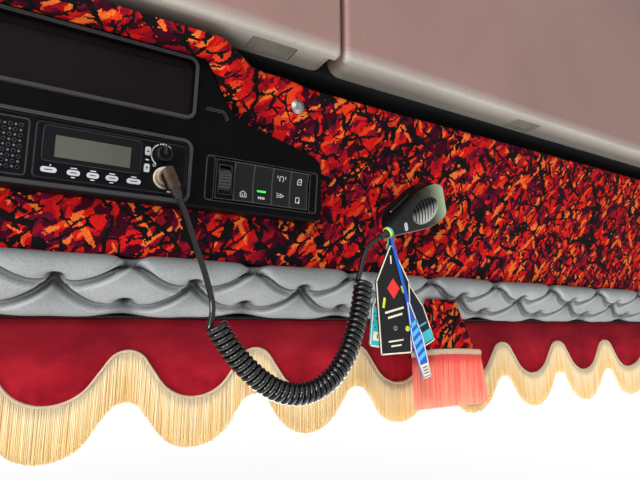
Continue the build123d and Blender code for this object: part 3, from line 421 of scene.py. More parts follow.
def leather_look():
    """Grey satin leatherette with a soft grain, with painted shade in its tucks and painted
    highlights on their ridges.
    """
    material, tree, shader = surface(
        "pad_leather", (0.26, 0.275, 0.28), 0.42, Specular_IOR_Level=0.15)
    spot = place(tree)
    cloud = noise(tree, spot, 18.0, 3.0)
    even = ramp(tree, cloud, [(0.3, (0.245, 0.258, 0.262)), (0.7, (0.290, 0.303, 0.306))])
    grain = ramp(tree, noise(tree, spot, 620.0, 2.0, 0.6), [
        (0.30, (0.84, 0.84, 0.84)), (0.70, (1.10, 1.10, 1.10))])
    even = mix(tree, 1.0, even, grain, "MULTIPLY")
    # Painted shade from the mesh's tuck values, painted highlight from its ridge values
    with_tuck_shade = mix(tree, attribute(tree, "tuck"), even, (0.016, 0.018, 0.020))
    color_from(tree, shader, mix(tree, attribute(tree, "ridge"), with_tuck_shade, (0.46, 0.47, 0.475)))
    cells = add(tree, "TexVoronoi", {"Vector": spot, "Scale": 850.0},
                feature="SMOOTH_F1").outputs["Distance"]
    bump(tree, shader, cells, 0.00016)
    return material


# Heights between which the velvet goes from painted shade under the pad to its painted light lower
# down
VELVET_LIT = (-0.455, -0.500)


def velvet_look():
    """Dark red velvet with brushed patches, with painted shade under the pad and painted light in
    its lobes.
    """
    material, tree, shader = surface(
        "velvet", (0.2, 0.004, 0.010), 0.9, Specular_IOR_Level=0.06, Sheen_Weight=0.03,
        Sheen_Roughness=0.4, Sheen_Tint=(1.0, 0.15, 0.17, 1))
    brushed = noise(tree, place(tree, (0.55, 1, 1)), 26.0, 4.0, 0.6)
    # Painted shade under the pad, painted light lower down in the lobes
    fall = fade(tree, part_of(tree, place(tree), "Z"), *VELVET_LIT, curve="SMOOTHSTEP")
    shaded = ramp(tree, brushed, [
        (0.28, (0.125, 0.0040, 0.009)), (0.5, (0.180, 0.0060, 0.013)),
        (0.75, (0.240, 0.010, 0.018))])
    lit = ramp(tree, brushed, [
        (0.28, (0.170, 0.0040, 0.010)), (0.5, (0.280, 0.0070, 0.016)),
        (0.75, (0.400, 0.015, 0.025))])
    color_from(tree, shader, mix(tree, fall, shaded, lit))
    bump(tree, shader, noise(tree, place(tree), 1300.0, 1.0), 0.0004)
    return material


def strand_look(name, pale, deep, tape):
    """Rayon threads, each its own tint, changing colour towards their free ends as painted light
    shining through them, on an even tape.
    """
    material, tree, shader = surface(name, deep, 0.55, Sheen_Weight=0.2, Sheen_Roughness=0.4)
    each = noise(tree, place(tree, (1, 1, 0.02)), 520.0, 1.0)
    # Painted light shining through the threads, changing their colour towards the free ends
    drop = attribute(tree, "drop")
    fall = maths(tree, "MULTIPLY_ADD", drop, 0.5, -0.42)
    tint = maths(tree, "MULTIPLY_ADD", each, 1.5, fall)
    threads = ramp(tree, tint, [(0.15, pale), (0.95, deep)])
    upper = fade(tree, drop, 0.10, 0.26, 0.85, 0.0)
    color_from(tree, shader, mix(tree, upper, threads, tape))
    twist = add(tree, "TexWave", {
        "Vector": place(tree, (1, 1, 1), (0, radians(35), 0)), "Scale": 260.0},
        bands_direction="X").outputs["Fac"]
    bump(tree, shader, twist, 0.0003)
    return material


# Lids: heights between which the grey lower edge turns into the skin above it, tinted pink as a
# painted reflection of the red cloth, and the depths between which that edge darkens in painted
# shade
DOOR_REFLECTION_BAND, DOOR_REAR_SHADE = (-0.174, -0.160), (-0.354, -0.334)


def door_look():
    """Warm grey moulded skin, finely speckled, tinted pink above its lower edge as a painted
    reflection of the red cloth; that edge is grey and darkens rearwards in painted shade.
    """
    material, tree, shader = surface("door_skin", (0.3, 0.17, 0.15), 0.50, Specular_IOR_Level=0.14)
    spot = place(tree)
    cloud = noise(tree, spot, 5.0, 3.0)
    # Painted reflection of the red cloth tints the skin pink above the lower edge
    upper = ramp(tree, cloud, [(0.3, (0.250, 0.150, 0.132)), (0.7, (0.300, 0.182, 0.162))])
    lower = ramp(tree, cloud, [(0.3, (0.350, 0.325, 0.290)), (0.7, (0.400, 0.375, 0.335))])
    band = fade(tree, part_of(tree, spot, "Z"), *DOOR_REFLECTION_BAND, 1.0, 0.0)
    # Painted shade: the lower edge darkens rearwards
    rear = fade(tree, part_of(tree, spot, "Y"), *DOOR_REAR_SHADE, 0.0, 0.85)
    lower = mix(tree, rear, lower, (0.125, 0.120, 0.100))
    soft = mix(tree, band, upper, lower)
    specks = noise(tree, spot, 420.0, 2.0, 0.7)
    speckled = mix(tree, ramp(tree, specks, [(0.60, (0, 0, 0)), (0.70, (0.4, 0.4, 0.4))]),
                   soft, (0.10, 0.085, 0.08))
    color_from(tree, shader, speckled)
    bump(tree, shader, noise(tree, spot, 1100.0, 2.0), 0.00010)
    return material


# Microphone's front: middle of the grille beyond the middle of the front, its half sizes, how deep
# the grille and its slots lie, and where across the front the painted highlight on the ribs stops
GRILLE_MIDDLE, GRILLE_HALF = 0.011, (0.020, 0.015)
GRILLE_DEPTH, SLOT_DEPTH = 0.0018, 0.0029
GRILLE_HIGHLIGHT = (-0.013, 0.004)
# The depths that the bevel lies between, and how far across the front its painted highlight reaches
BEVEL_DEPTHS, BEVEL_SIDE = (0.0004, 0.0017), 0.002


def mic_front_look():
    """Satin front shell; a painted reflection makes it dark at the neck and paler towards its far
    end, with painted highlights on its bevel and grille ribs and painted shade in its slots.
    """
    material, tree, shader = surface(
        "mic_front_plastic", (0.05, 0.05, 0.05), 0.26, Specular_IOR_Level=0.08)
    across = MIC_NORMAL.cross(MIC_AXIS)

    def reading(direction):
        """Distance in metres along a direction from the neck."""
        along = dot(tree, place(tree), tuple(direction))
        return maths(tree, "SUBTRACT", along, MIC_NECK.dot(direction))

    length, side, depth = reading(MIC_AXIS), reading(across), reading(-MIC_NORMAL)
    # Painted reflection: dark at the neck, pale green towards the far end
    share = fade(tree, length, 0.02, MIC_LENGTH)
    color = ramp(tree, share, [
        (0.0, (0.006, 0.0065, 0.0065)), (0.45, (0.011, 0.012, 0.011)),
        (0.66, (0.040, 0.047, 0.034)), (0.84, (0.17, 0.21, 0.135)), (1.0, (0.34, 0.41, 0.26))])
    # Painted highlight on the bevel below and at the neck
    low = maths(tree, "LESS_THAN", side, BEVEL_SIDE)
    bevel = maths(tree, "MULTIPLY", maths(tree, "GREATER_THAN", depth, BEVEL_DEPTHS[0]),
                  maths(tree, "LESS_THAN", depth, BEVEL_DEPTHS[1]))
    color = mix(tree, maths(tree, "MULTIPLY", bevel, low), color, (0.26, 0.22, 0.215))
    # Painted highlight on the ribs of the grille in its lower half, painted shade in the slots
    start = -(MIC_LENGTH / 2 + GRILLE_MIDDLE) / GRILLE_HALF[0]
    around = add(tree, "CombineXYZ", {
        "X": maths(tree, "MULTIPLY_ADD", length, 1 / GRILLE_HALF[0], start),
        "Y": maths(tree, "MULTIPLY", side, 1 / GRILLE_HALF[1])}).outputs[0]
    inside = maths(tree, "LESS_THAN", add(
        tree, "VectorMath", {0: around}, operation="LENGTH").outputs["Value"], 1.03)
    rib_highlight = fade(tree, side, *GRILLE_HIGHLIGHT, 1.0, 0.0)
    rib = mix(tree, rib_highlight, (0.012, 0.013, 0.012), (0.50, 0.52, 0.48))
    deep = maths(tree, "GREATER_THAN", depth, SLOT_DEPTH)
    grille = mix(tree, deep, rib, (0.002, 0.002, 0.002))
    sunk = maths(tree, "MULTIPLY", inside, maths(tree, "GREATER_THAN", depth, GRILLE_DEPTH))
    color_from(tree, shader, mix(tree, sunk, color, grille))
    bump(tree, shader, noise(tree, place(tree), 1600.0), 0.00003)
    return material


def metal_look(name, color, roughness, brushed=0.0):
    """Metal with worn gloss, drawn out in lines where it is brushed."""
    material, tree, shader = surface(name, color, roughness, Metallic=1.0)
    spot = place(tree, (1, 1, 12) if brushed else (1, 1, 1))
    wear = noise(tree, spot, 120.0, 4.0)
    gloss_from(tree, shader, wear, roughness * 0.8, roughness * 1.35)
    bump(tree, shader, wear, 0.00004 + brushed)
    return material


def on_plane(top, lean, u, v, w):
    """Points on a leaning plane: u to the right, v up the slope, w towards the driver."""
    u, v, w = np.broadcast_arrays(u, v, w)
    return np.stack([
        top.x + u,
        top.y - v * sin(lean) - w * cos(lean),
        top.z + v * cos(lean) - w * sin(lean),
    ], axis=-1)


# Height of the plug's nut above the console's face
PLUG_NUT_OUT = 0.0125


def plug_look():
    """Nickel on the nut near the panel, dark bronze on the elbow in front of it."""
    material, tree, shader = surface("plug_bronze", (0.05, 0.035, 0.025), 0.28, Metallic=1.0)
    wear = noise(tree, place(tree), 120.0, 4.0)
    elbow = ramp(tree, wear, [(0.3, (0.045, 0.029, 0.020)), (0.7, (0.075, 0.052, 0.038))])
    nut = maths(tree, "LESS_THAN", height_off_console(tree), PLUG_NUT_OUT)
    color_from(tree, shader, mix(tree, nut, elbow, (0.62, 0.55, 0.44)))
    bump(tree, shader, wear, 0.00004)
    return material


def rubber_look(name, color, roughness, grain=0.00003):
    """Black rubber, smeared in its gloss."""
    material, tree, shader = surface(name, color, roughness, Specular_IOR_Level=0.4)
    gloss_from(tree, shader, noise(tree, place(tree), 60.0, 3.0), roughness, 1.5 * roughness)
    bump(tree, shader, noise(tree, place(tree), 900.0), grain)
    return material


looks = {
    "carcass": grained("carcass_board", (0.010, 0.010, 0.011), 0.8, Specular_IOR_Level=0.15),
    "cheek": grained("cheek_board", (0.20, 0.165, 0.155), 0.55),
    "door": door_look(),
    "latch": grained("latch_plastic", (0.150, 0.140, 0.112), 0.45),
    "hinge": metal_look("hinge_steel", (0.50, 0.50, 0.51), 0.35, 0.00004),
    "plush": plush_look(),
    "leather": leather_look(),
    "trim": grained("trim_cloth", (0.008, 0.007, 0.007), 0.8, 900.0, 0.0003,
                    Specular_IOR_Level=0.15),
    "velvet": velvet_look(),
    "gold": strand_look("gold_fringe", (0.90, 0.77, 0.50), (0.78, 0.48, 0.15),
                        (0.70, 0.54, 0.34)),
    "braid": strand_look("gold_braid", (0.72, 0.58, 0.40), (0.64, 0.46, 0.26),
                         (0.64, 0.51, 0.34)),
    "coral": strand_look("red_fringe", (0.86, 0.070, 0.060), (0.95, 0.33, 0.20),
                         (0.80, 0.060, 0.050)),
    "console": console_look(),
    "cover": grained("blank_cover", (0.0060, 0.0040, 0.0042), 0.36, 1200.0, 0.00005,
                     Specular_IOR_Level=0.06),
    "switch": grained("switch_plastic", (0.0052, 0.0052, 0.0060), 0.38, 1800.0, 0.00005,
                      edge=(0.110, 0.110, 0.115), Specular_IOR_Level=0.14),
    "radio": grained("radio_plastic", (0.0026, 0.0028, 0.0034), 0.36, 1800.0, 0.00005,
                     edge=(0.085, 0.085, 0.092), Specular_IOR_Level=0.05),
    "chassis": metal_look("radio_metal", (0.20, 0.20, 0.20), 0.5, 0.00003),
    "window": grained("display_window", (0.003, 0.003, 0.004), 0.10, 300.0, 0.000002,
                      Specular_IOR_Level=0.12),
    "glass": grained("display_glass", (0.070, 0.072, 0.058), 0.22, 300.0, 0.000002,
                     Specular_IOR_Level=0.2),
    "key": grained("key_plastic", (0.40, 0.40, 0.43), 0.35, 1500.0, 0.00003),
    "plug": metal_look("plug_metal", (0.78, 0.71, 0.58), 0.20),
    "arm": plug_look(),
    "relief": rubber_look("relief_rubber", (0.006, 0.0055, 0.0055), 0.38),
    "cord": rubber_look("cord_rubber", (0.0026, 0.0025, 0.0028), 0.08, 0.000006),
    "mic": grained("mic_plastic", (0.0035, 0.0035, 0.0040), 0.20, 1600.0, 0.00002,
                   Specular_IOR_Level=0.22),
    "mic_front": mic_front_look(),
    "bracket": metal_look("bracket_steel", (0.10, 0.10, 0.11), 0.4, 0.00004),
    "stud": metal_look("stud_metal", (0.24, 0.22, 0.21), 0.40, 0.00006),
    "lime": grained("string_lime", (0.62, 0.66, 0.04), 0.6, 900.0, 0.0002),
    "string": grained("string_teal", (0.04, 0.42, 0.42), 0.6, 900.0, 0.0002),
}
# Inks: name, grain, colour
INKS = {
    "print": ("print_ink", 1500.0, (0.55, 0.55, 0.56)),
    # Grey dots: painted highlights on the speaker grille's raised dots
    "dot": ("painted_highlight_dots", 1500.0, (0.085, 0.087, 0.095)),
    "ink": ("dark_ink", 1500.0, (0.010, 0.010, 0.012)),
    "cream": ("print_cream", 900.0, (0.76, 0.69, 0.52)),
    "red": ("print_red", 900.0, (0.74, 0.018, 0.014)),
    "sky": ("print_sky", 900.0, (0.09, 0.42, 0.74)),
    "aqua": ("print_aqua", 900.0, (0.035, 0.42, 0.48)),
}
for look, (name, grain, color) in INKS.items():
    looks[look] = grained(name, color, 0.5, grain, 0.00001)
TAG_CARDS = {
    "black": (0.011, 0.011, 0.012), "teal": (0.035, 0.42, 0.48), "blue": (0.018, 0.11, 0.50),
    "rear": (0.012, 0.016, 0.026),
}
for name, color in TAG_CARDS.items():
    looks["card_" + name] = grained(
        "tag_card_" + name, color, 0.5, 900.0, 0.00002, Specular_IOR_Level=0.12)

# Material of each rigid node that stays
NODE_LOOKS = {
    "carcass": ["back_panel", "floor_panel", "roof_panel", "dividers", "recess_board",
                "valance_board", "underside_board", "rear_board", "fascia_board"],
    "cheek": ["cheeks"],
    "door": ["door_left", "door_centre", "door_right"],
    "latch": ["latch_left", "latch_centre", "latch_right"],
    "hinge": ["hinge_fixed"],
    "trim": ["pad_trim"],
    "console": ["console_bezel", "switch_carriers", "switch_blanks"],
    "cover": ["blank_cover"],
    "switch": ["switch_rockers", "dimmer_wheel"],
    "radio": ["radio_face", "speaker_grille", "control_plate", "volume_knob"],
    "chassis": ["radio_chassis"],
    "window": ["display_window"],
    "glass": ["display_glass"],
    "key": ["radio_buttons"],
    "plug": ["mic_socket"],
    "arm": ["mic_plug"],
    "stud": ["trim_stud"],
    "relief": ["plug_relief", "mic_relief"],
    "mic": ["mic_back", "mic_key"],
    "mic_front": ["mic_front"],
    "bracket": ["mic_bracket", "mic_stud"],
    **{"card_" + name: ["tag_" + name] for name in TAG_CARDS},
}
for look, names in NODE_LOOKS.items():
    for name in names:
        nodes[name].data.materials.clear()
        nodes[name].data.materials.append(looks[look])

camera()


# Cord from the plug to the microphone: lead, curly coil, tail, points in millimetres
CORD_POINTS = {
    "lead": [
        (82.06, -338.24, -340.76), (88.82, -337.49, -354.13), (95.5, -335.5, -371.5),
        (106.5, -334.5, -398.0), (114.5, -334.8, -422.0), (117.0, -335.2, -436.5),
        (119.5, -335.5, -449.0),
    ],
    "coil": [
        (119.5, -335.5, -449.0), (131.0, -336.0, -466.0), (144.5, -336.5, -481.5),
        (160.5, -337.0, -496.0), (179.0, -337.0, -507.0), (199.5, -337.0, -511.5),
        (219.5, -336.5, -508.5), (237.0, -336.0, -498.5), (250.5, -335.5, -483.5),
        (260.0, -335.0, -466.0), (267.5, -334.5, -447.0), (273.5, -333.5, -427.0),
        (278.5, -331.0, -405.0),
    ],
    "tail": [
        (278.5, -331.0, -405.0), (275.5, -331.0, -391.5), (280.2, -329.5, -376.6),
        (288.98, -328.67, -361.31), (302.20, -330.87, -353.53),
    ],
}


def spline_curve(name, points, radius):
    """Smooth NURBS curve through space with the points as its control points, in metres."""
    data = bpy.data.curves.new(name, "CURVE")
    data.dimensions = "3D"
    data.resolution_u = 24
    data.bevel_depth = radius
    data.bevel_resolution = 5
    data.use_fill_caps = True
    spline = data.splines.new("NURBS")
    spline.points.add(len(points) - 1)
    for point, spot in zip(spline.points, points):
        point.co = (*spot, 1)
    spline.order_u = 3
    spline.use_endpoint_u = True
    return show(bpy.data.objects.new(name, data))


def points_along(name, points):
    """Evenly read points of the smooth line through the control points."""
    line = spline_curve(name, points, 0)
    bpy.context.view_layer.update()
    mesh = bpy.data.meshes.new_from_object(line.evaluated_get(
        bpy.context.evaluated_depsgraph_get()))
    read = np.array([v.co for v in mesh.vertices], float)
    bpy.data.objects.remove(line)
    return read


def resampled(line, count):
    """The same line as evenly spaced points."""
    steps = np.r_[0, np.cumsum(np.linalg.norm(np.diff(line, axis=0), axis=1))]
    even = np.linspace(0, steps[-1], count)
    return np.stack([np.interp(even, steps, line[:, k]) for k in range(3)], axis=1), steps[-1]


def helix_points(route):
    """Turns of the curly cord round its route, from its left rim round to its left rim."""
    core, length = resampled(points_along("coil_core", route), 400)
    turns = int(length / COIL_PITCH) + 0.5
    per_turn = 12
    total = int(turns * per_turn)
    winding = (COIL_DIAMETER - CORD_DIAMETER) / 2
    along = np.gradient(core, axis=0)
    along /= np.linalg.norm(along, axis=1, keepdims=True)
    side = np.cross(along, np.array([0.0, 1.0, 0.0]))
    side /= np.linalg.norm(side, axis=1, keepdims=True)
    over = np.cross(side, along)
    spots = []
    for k in range(total + 1):
        at = k / total * (len(core) - 1)
        low = min(int(at), len(core) - 2)
        rest = at - low
        centre = core[low] * (1 - rest) + core[low + 1] * rest
        angle = 2 * pi * k / per_turn + pi
        spots.append(centre + winding * (cos(angle) * side[low] + sin(angle) * over[low]))
    return spots, turns


def mic_cord():
    """Lead, coil and tail as one cord."""
    lead, coil, tail = (
        [np.array(p) * MM for p in CORD_POINTS[k]] for k in ("lead", "coil", "tail"))
    turned, turns = helix_points(coil)
    route = lead[:-1] + turned + tail[1:]
    cord = spline_curve("mic_cord", route, CORD_DIAMETER / 2)
    cord.data.resolution_u = 4
    dress(cord, looks["cord"])
    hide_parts("cord_lead", "cord_coil", "cord_tail")
    read = points_along("cord_measure", route)


mic_cord()


def smooth_noise(x, z, scale, seed):
    """Soft random field over the header, about -1 to 1, from a few waves."""
    waves = np.random.default_rng(seed)
    total = np.zeros(np.broadcast(x, z).shape)
    for _ in range(9):
        turn, phase, size = waves.uniform(0, 2 * pi, 3)
        stretch = 0.6 + 0.15 * size
        total += np.sin(scale * stretch * (x * cos(turn) + z * sin(turn)) + phase)
    return total / 3


# Plush cover: outline with its crown, rolled edges, open behind the console
CROWN_RISE = 0.0232
CROWN_HALF = 0.190
CROWN_FOOT = 0.345
CROWN_RADIUS = 0.110
COVER_ROLL = 0.0065
COVER_THICKNESS = 0.008
# Openings behind the console: half width, lower and upper edge
OPENINGS = [(0.2245, -0.124, -0.066), (0.099, -0.124, 0.013)]
FOOT_LAP = 0.0022
COVER_PILE, COVER_STUFFING = 0.00035, 0.0007


def crown(u):
    """Height of the fascia's top edge: a raised middle with rounded shoulders."""
    slope = CROWN_RISE / (CROWN_FOOT - CROWN_HALF)
    half_turn = np.arctan(slope) / 2
    reach = CROWN_RADIUS * tan(half_turn)
    lean_reach = reach * cos(2 * half_turn)
    u = np.abs(u)
    height = np.clip((CROWN_FOOT - u) * slope, 0, CROWN_RISE)
    # Round the shoulder and round the foot: from, to, middle of the arc, its side
    for start, end, centre_u, centre_v, sign in (
            (CROWN_HALF - reach, CROWN_HALF + lean_reach,
             CROWN_HALF - reach, CROWN_RISE - CROWN_RADIUS, 1),
            (CROWN_FOOT - lean_reach, CROWN_FOOT + reach, CROWN_FOOT + reach, CROWN_RADIUS, -1)):
        arc = centre_v + sign * np.sqrt(np.clip(CROWN_RADIUS ** 2 - (u - centre_u) ** 2, 0, None))
        height = np.where((u > start) & (u < end), arc, height)
    return height


def rolled(gap, radius):
    """How far a rounded edge has fallen back at a distance from its rim."""
    inward = np.clip(radius - gap, 0, radius)
    return radius - np.sqrt(np.clip(radius ** 2 - inward ** 2, 0, None))


# Forward roll of the cover above the console, and the console's outline that it tucks behind
ROLL_REACH = 0.031
ROLL_FOOT, ROLL_NOSE = -0.0206, 0.0247
ROLL_HALF, ROLL_FOOT_HALF = 0.112, 0.165
ROLL_TOP = ([0.100, 0.112, 0.165], [0.0350, 0.0345, 0.0185])
CONSOLE_EDGE = [(0.0, 0.002), (0.104, 0.002), (0.134, -0.050), (0.235, -0.075), (0.2385, -0.142)]
TUCK = 0.006
TUCK_START, TUCK_RAISE = 0.0005, 0.0016
ROLL_BLEND = 0.12


def outside_console(u, v):
    """Distance of a place on the console's plane from the console's outline, inside negative."""
    u = np.abs(u)
    nearest = np.full(np.broadcast(u, v).shape, 1.0)
    for (u1, v1), (u2, v2) in zip(CONSOLE_EDGE, CONSOLE_EDGE[1:]):
        run = (u2 - u1) ** 2 + (v2 - v1) ** 2
        share = np.clip(((u - u1) * (u2 - u1) + (v - v1) * (v2 - v1)) / run, 0, 1)
        away = np.hypot(u - u1 - share * (u2 - u1), v - v1 - share * (v2 - v1))
        nearest = np.minimum(nearest, away)
    edge_u, edge_v = zip(*CONSOLE_EDGE)
    inside = (v < np.interp(u, edge_u, edge_v)) & (u < edge_u[-1])
    return np.where(inside, -nearest, nearest)


def roll_swell(u, v):
    """How far the plush roll stands out of the fascia's plane."""
    section = np.clip((v - ROLL_FOOT) / (ROLL_NOSE - ROLL_FOOT), 0, 1)
    plan = np.clip((ROLL_FOOT_HALF - np.abs(u)) / (ROLL_FOOT_HALF - ROLL_HALF), 0, 1.15)
    low = np.minimum(section, plan)
    swell = low - ROLL_BLEND / 4 * np.clip(1 - np.abs(section - plan) / ROLL_BLEND, 0, 1) ** 2
    console_v = v * cos(FASCIA_LEAN) + FASCIA_TOP.z - CONSOLE_TOP.z + TUCK_RAISE
    tuck = np.clip((outside_console(u, console_v) + TUCK_START) / TUCK, 0, 1)
    return ROLL_REACH * np.clip(swell, 0, 1) * np.sin(tuck * pi / 2) ** 0.8


def plush_cover():
    """Plush over the fascia, swollen into a roll above the console and open behind it."""
    low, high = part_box("fascia_plush")
    columns, rows = 760, 64
    u = np.linspace(low.x, high.x, columns)[None, :]
    top = np.maximum(crown(u), np.interp(np.abs(u), *ROLL_TOP))
    foot = -FASCIA_LENGTH - FOOT_LAP
    # Rows crowd towards the two long edges, where the cover rolls back
    share = (1 - np.cos(np.linspace(0, pi, rows)))[:, None] / 2
    v = top - share * (top - foot)
    gap = np.minimum.reduce([top - v, 2.2 * (v - foot), u - low.x + 0 * v, high.x - u + 0 * v])
    pile = COVER_PILE * smooth_noise(u, v, 900.0, 3)
    stuffing = COVER_STUFFING * smooth_noise(u, v, 45.0, 5)
    w = pile + stuffing - rolled(gap, COVER_ROLL) + roll_swell(u, v)
    front = on_plane(FASCIA_TOP, FASCIA_LEAN, u, v, w)
    back = on_plane(FASCIA_TOP, FASCIA_LEAN, u, v, -COVER_THICKNESS + 0 * v)
    middle_u = np.abs((u[:, 1:] + u[:, :-1]) / 2) + 0 * v[1:, 1:]
    middle_v = (v[1:, 1:] + v[:-1, :-1]) / 2
    closed = np.full(middle_u.shape, True)
    for half, bottom, upper in OPENINGS:
        closed &= ~((middle_u < half) & (middle_v > bottom) & (middle_v < upper))
    points = np.concatenate([front.reshape(-1, 3), back.reshape(-1, 3)])
    count = rows * columns
    faces = grid_faces(rows, columns, flip=True, keep=closed)
    faces += grid_faces(rows, columns, count, keep=closed)
    # Where a front quad has no neighbour, a strip joins it to the back
    edges = dict.fromkeys((a, b) for quad in faces[: int(closed.sum())]
                          for a, b in zip(quad, quad[1:] + quad[:1]))
    for a, b in edges:
        if (b, a) not in edges:
            faces.append([b, a, a + count, b + count])
    piece = mesh_piece("plush_cover", points, faces)
    dress(piece, looks["plush"])
    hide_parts("fascia_plush")


plush_cover()


# Tufted pad: its section from the back over the top, down the slope and back, in metres
PAD_SECTION = [(-0.2253, -0.3873), (-0.285, -0.3873), (-0.285, -0.4013), (-0.245, -0.4383),
               (-0.2253, -0.4383)]
PAD_ROUNDS = [0.0085, 0.011, 0.010]
TUFT_PITCH = 0.1215
# Rows of tufts: height and first place along the pad
TUFT_ROWS = [(-0.3874, 0.0565), (-0.4095, -0.0043), (-0.4285, 0.0565)]
# Pleats: depth, sag, how steeply they leave a tuft, how soon they fade above and below
PLEAT_PULL = 0.0105
PLEAT_SAG = 0.0045
PLEAT_POWER = 2.8
PLEAT_ABOVE, PLEAT_BELOW = 0.0022, 0.0050
# Second fold under a pleat: share of its depth, place, width
FOLD_SHARE, FOLD_PLACE, FOLD_WIDTH = 0.34, 0.0056, 0.0014
# Painted highlights along a pleat's ridges: place and width
RIDGE_HIGHLIGHTS = [(0.0088, 0.0009), (-0.0030, 0.0008)]
# Tents below the tufts, the gathers in them, and the tufts' own pits
TENT_DEPTH, TENT_FALL, TENT_WIDTH = 0.0065, 0.016, 0.012
GATHER_DEPTH, GATHER_PITCH = 0.0003, 0.0075
PIT_DEPTH, PIT_RADIUS = 0.0135, 0.0055
# Painted shade of the tents: width at the tuft, spread, length
SHADE_WIDTH, SHADE_SPREAD, SHADE_LENGTH = 0.009, 0.45, 0.034
# Along the section: its hidden rear run, its last row's step, and the runs over which the pull
# grows and ends
PAD_HIDDEN, PAD_LAST_STEP = 0.036, 0.004
PULL_GROWS, PULL_ENDS = 0.010, 0.012
# The stretch with tufts starts here along the section, and so far in front of the rear face
TUFTS_START, TUFTS_AHEAD = 0.045, 0.012
# Stuffing between the tucks, and its unevenness
PAD_FILL, PAD_SWAY = 0.0022, 0.0008
# Lower edge drawn up at the lowest tufts: rise, width, the height it starts at and over what run
EDGE_RISE, EDGE_WIDTH, EDGE_START, EDGE_RUN = 0.0042, 0.020, -0.424, 0.012
# Greatest painted shade of tucks, tents and the upper edge under the plush, the height and run of
# that edge, and the strength of the painted highlight on the ridges
TUCK_SHADE, TENT_SHADE, EDGE_SHADE = 0.94, 0.90, 0.42
EDGE_SHADE_Z, EDGE_SHADE_RUN = -0.3975, 0.010
RIDGE_HIGHLIGHT = 0.60


def rounded_line(corners, radii):
    """A line through corners with rounded bends, as points."""
    spots = [np.array(corners[0])]
    for before, corner, after, radius in zip(corners, corners[1:], corners[2:], radii):
        before, corner, after = map(np.array, (before, corner, after))
        back = (before - corner) / np.linalg.norm(before - corner)
        ahead = (after - corner) / np.linalg.norm(after - corner)
        half = np.arccos(np.clip(back @ ahead, -1, 1)) / 2
        centre = corner + (back + ahead) / np.linalg.norm(back + ahead) * radius / sin(half)
        start = corner + back * radius / tan(half) - centre
        end = corner + ahead * radius / tan(half) - centre
        for share in np.linspace(0, 1, 9):
            spoke = start * (1 - share) + end * share
            spots.append(centre + spoke / np.linalg.norm(spoke) * radius)
    spots.append(np.array(corners[-1]))
    return np.array(spots)


def beside(x, first_x):
    """Distance along the pad from the nearest tuft of a row."""
    return (x - first_x + TUFT_PITCH / 2) % TUFT_PITCH - TUFT_PITCH / 2


def peak(away, width):
    """1 in the middle, falling off smoothly over a width."""
    return np.exp(-(away / width) ** 2)


def tuft_depth(x, s, rows):
    """How deep the pleats and tufts pull the pad in, and where their ridges get a painted
    highlight.

    s runs down the section, rows hold s, x.
    """
    depth, ridge = np.zeros(x.shape), np.zeros(x.shape)
    half = TUFT_PITCH / 2
    for k, (row_s, first_x) in enumerate(rows):
        near = beside(x, first_x)
        below = s - row_s
        if k + 1 < len(rows):
            share = np.abs(near) / half
            reach = rows[k + 1][0] - row_s
            pleat = reach * (1 - (1 - share) ** PLEAT_POWER) + PLEAT_SAG * np.sin(pi * share ** 2)
            steep = reach * PLEAT_POWER * (1 - share) ** (PLEAT_POWER - 1) / half
            away = (below - pleat) / np.sqrt(1 + steep ** 2)
            pull = PLEAT_PULL * (1 - 0.30 * share)
            crease = np.where(away < 0, np.exp(away / PLEAT_ABOVE), np.exp(-away / PLEAT_BELOW))
            second = FOLD_SHARE * peak(away - FOLD_PLACE, FOLD_WIDTH)
            depth = np.maximum(depth, pull * crease) + pull * second * (share < 0.98)
            line = sum(peak(away - spot, width) for spot, width in RIDGE_HIGHLIGHTS)
            ridge = np.maximum(ridge, line * np.sin(pi * np.clip(share * 1.15, 0, 1)) ** 0.7)
            tent = np.exp(-np.clip(below, 0, None) / TENT_FALL) * peak(near, TENT_WIDTH)
            gather = GATHER_DEPTH * np.cos(near * 2 * pi / GATHER_PITCH)
            depth += np.where(away > 0, tent * (TENT_DEPTH + gather), 0.0)
        away = np.hypot(near / 1.3, below)
        depth = np.maximum(depth, PIT_DEPTH * np.exp(-(away / PIT_RADIUS) ** 1.5))
    return depth, ridge


def tent_shade(x, s, rows):
    """Painted shade: 1 just below a tuft, fading down and outwards, where the leather sinks."""
    shade = np.zeros(s.shape)
    for row_s, first_x in rows:
        below = np.clip(s - row_s, 0, None)
        field = peak(beside(x, first_x), SHADE_WIDTH + SHADE_SPREAD * below)
        field = field * np.clip(1 - below / SHADE_LENGTH, 0, 1)
        shade = np.maximum(shade, np.where(s > row_s, field, 0))
    return shade


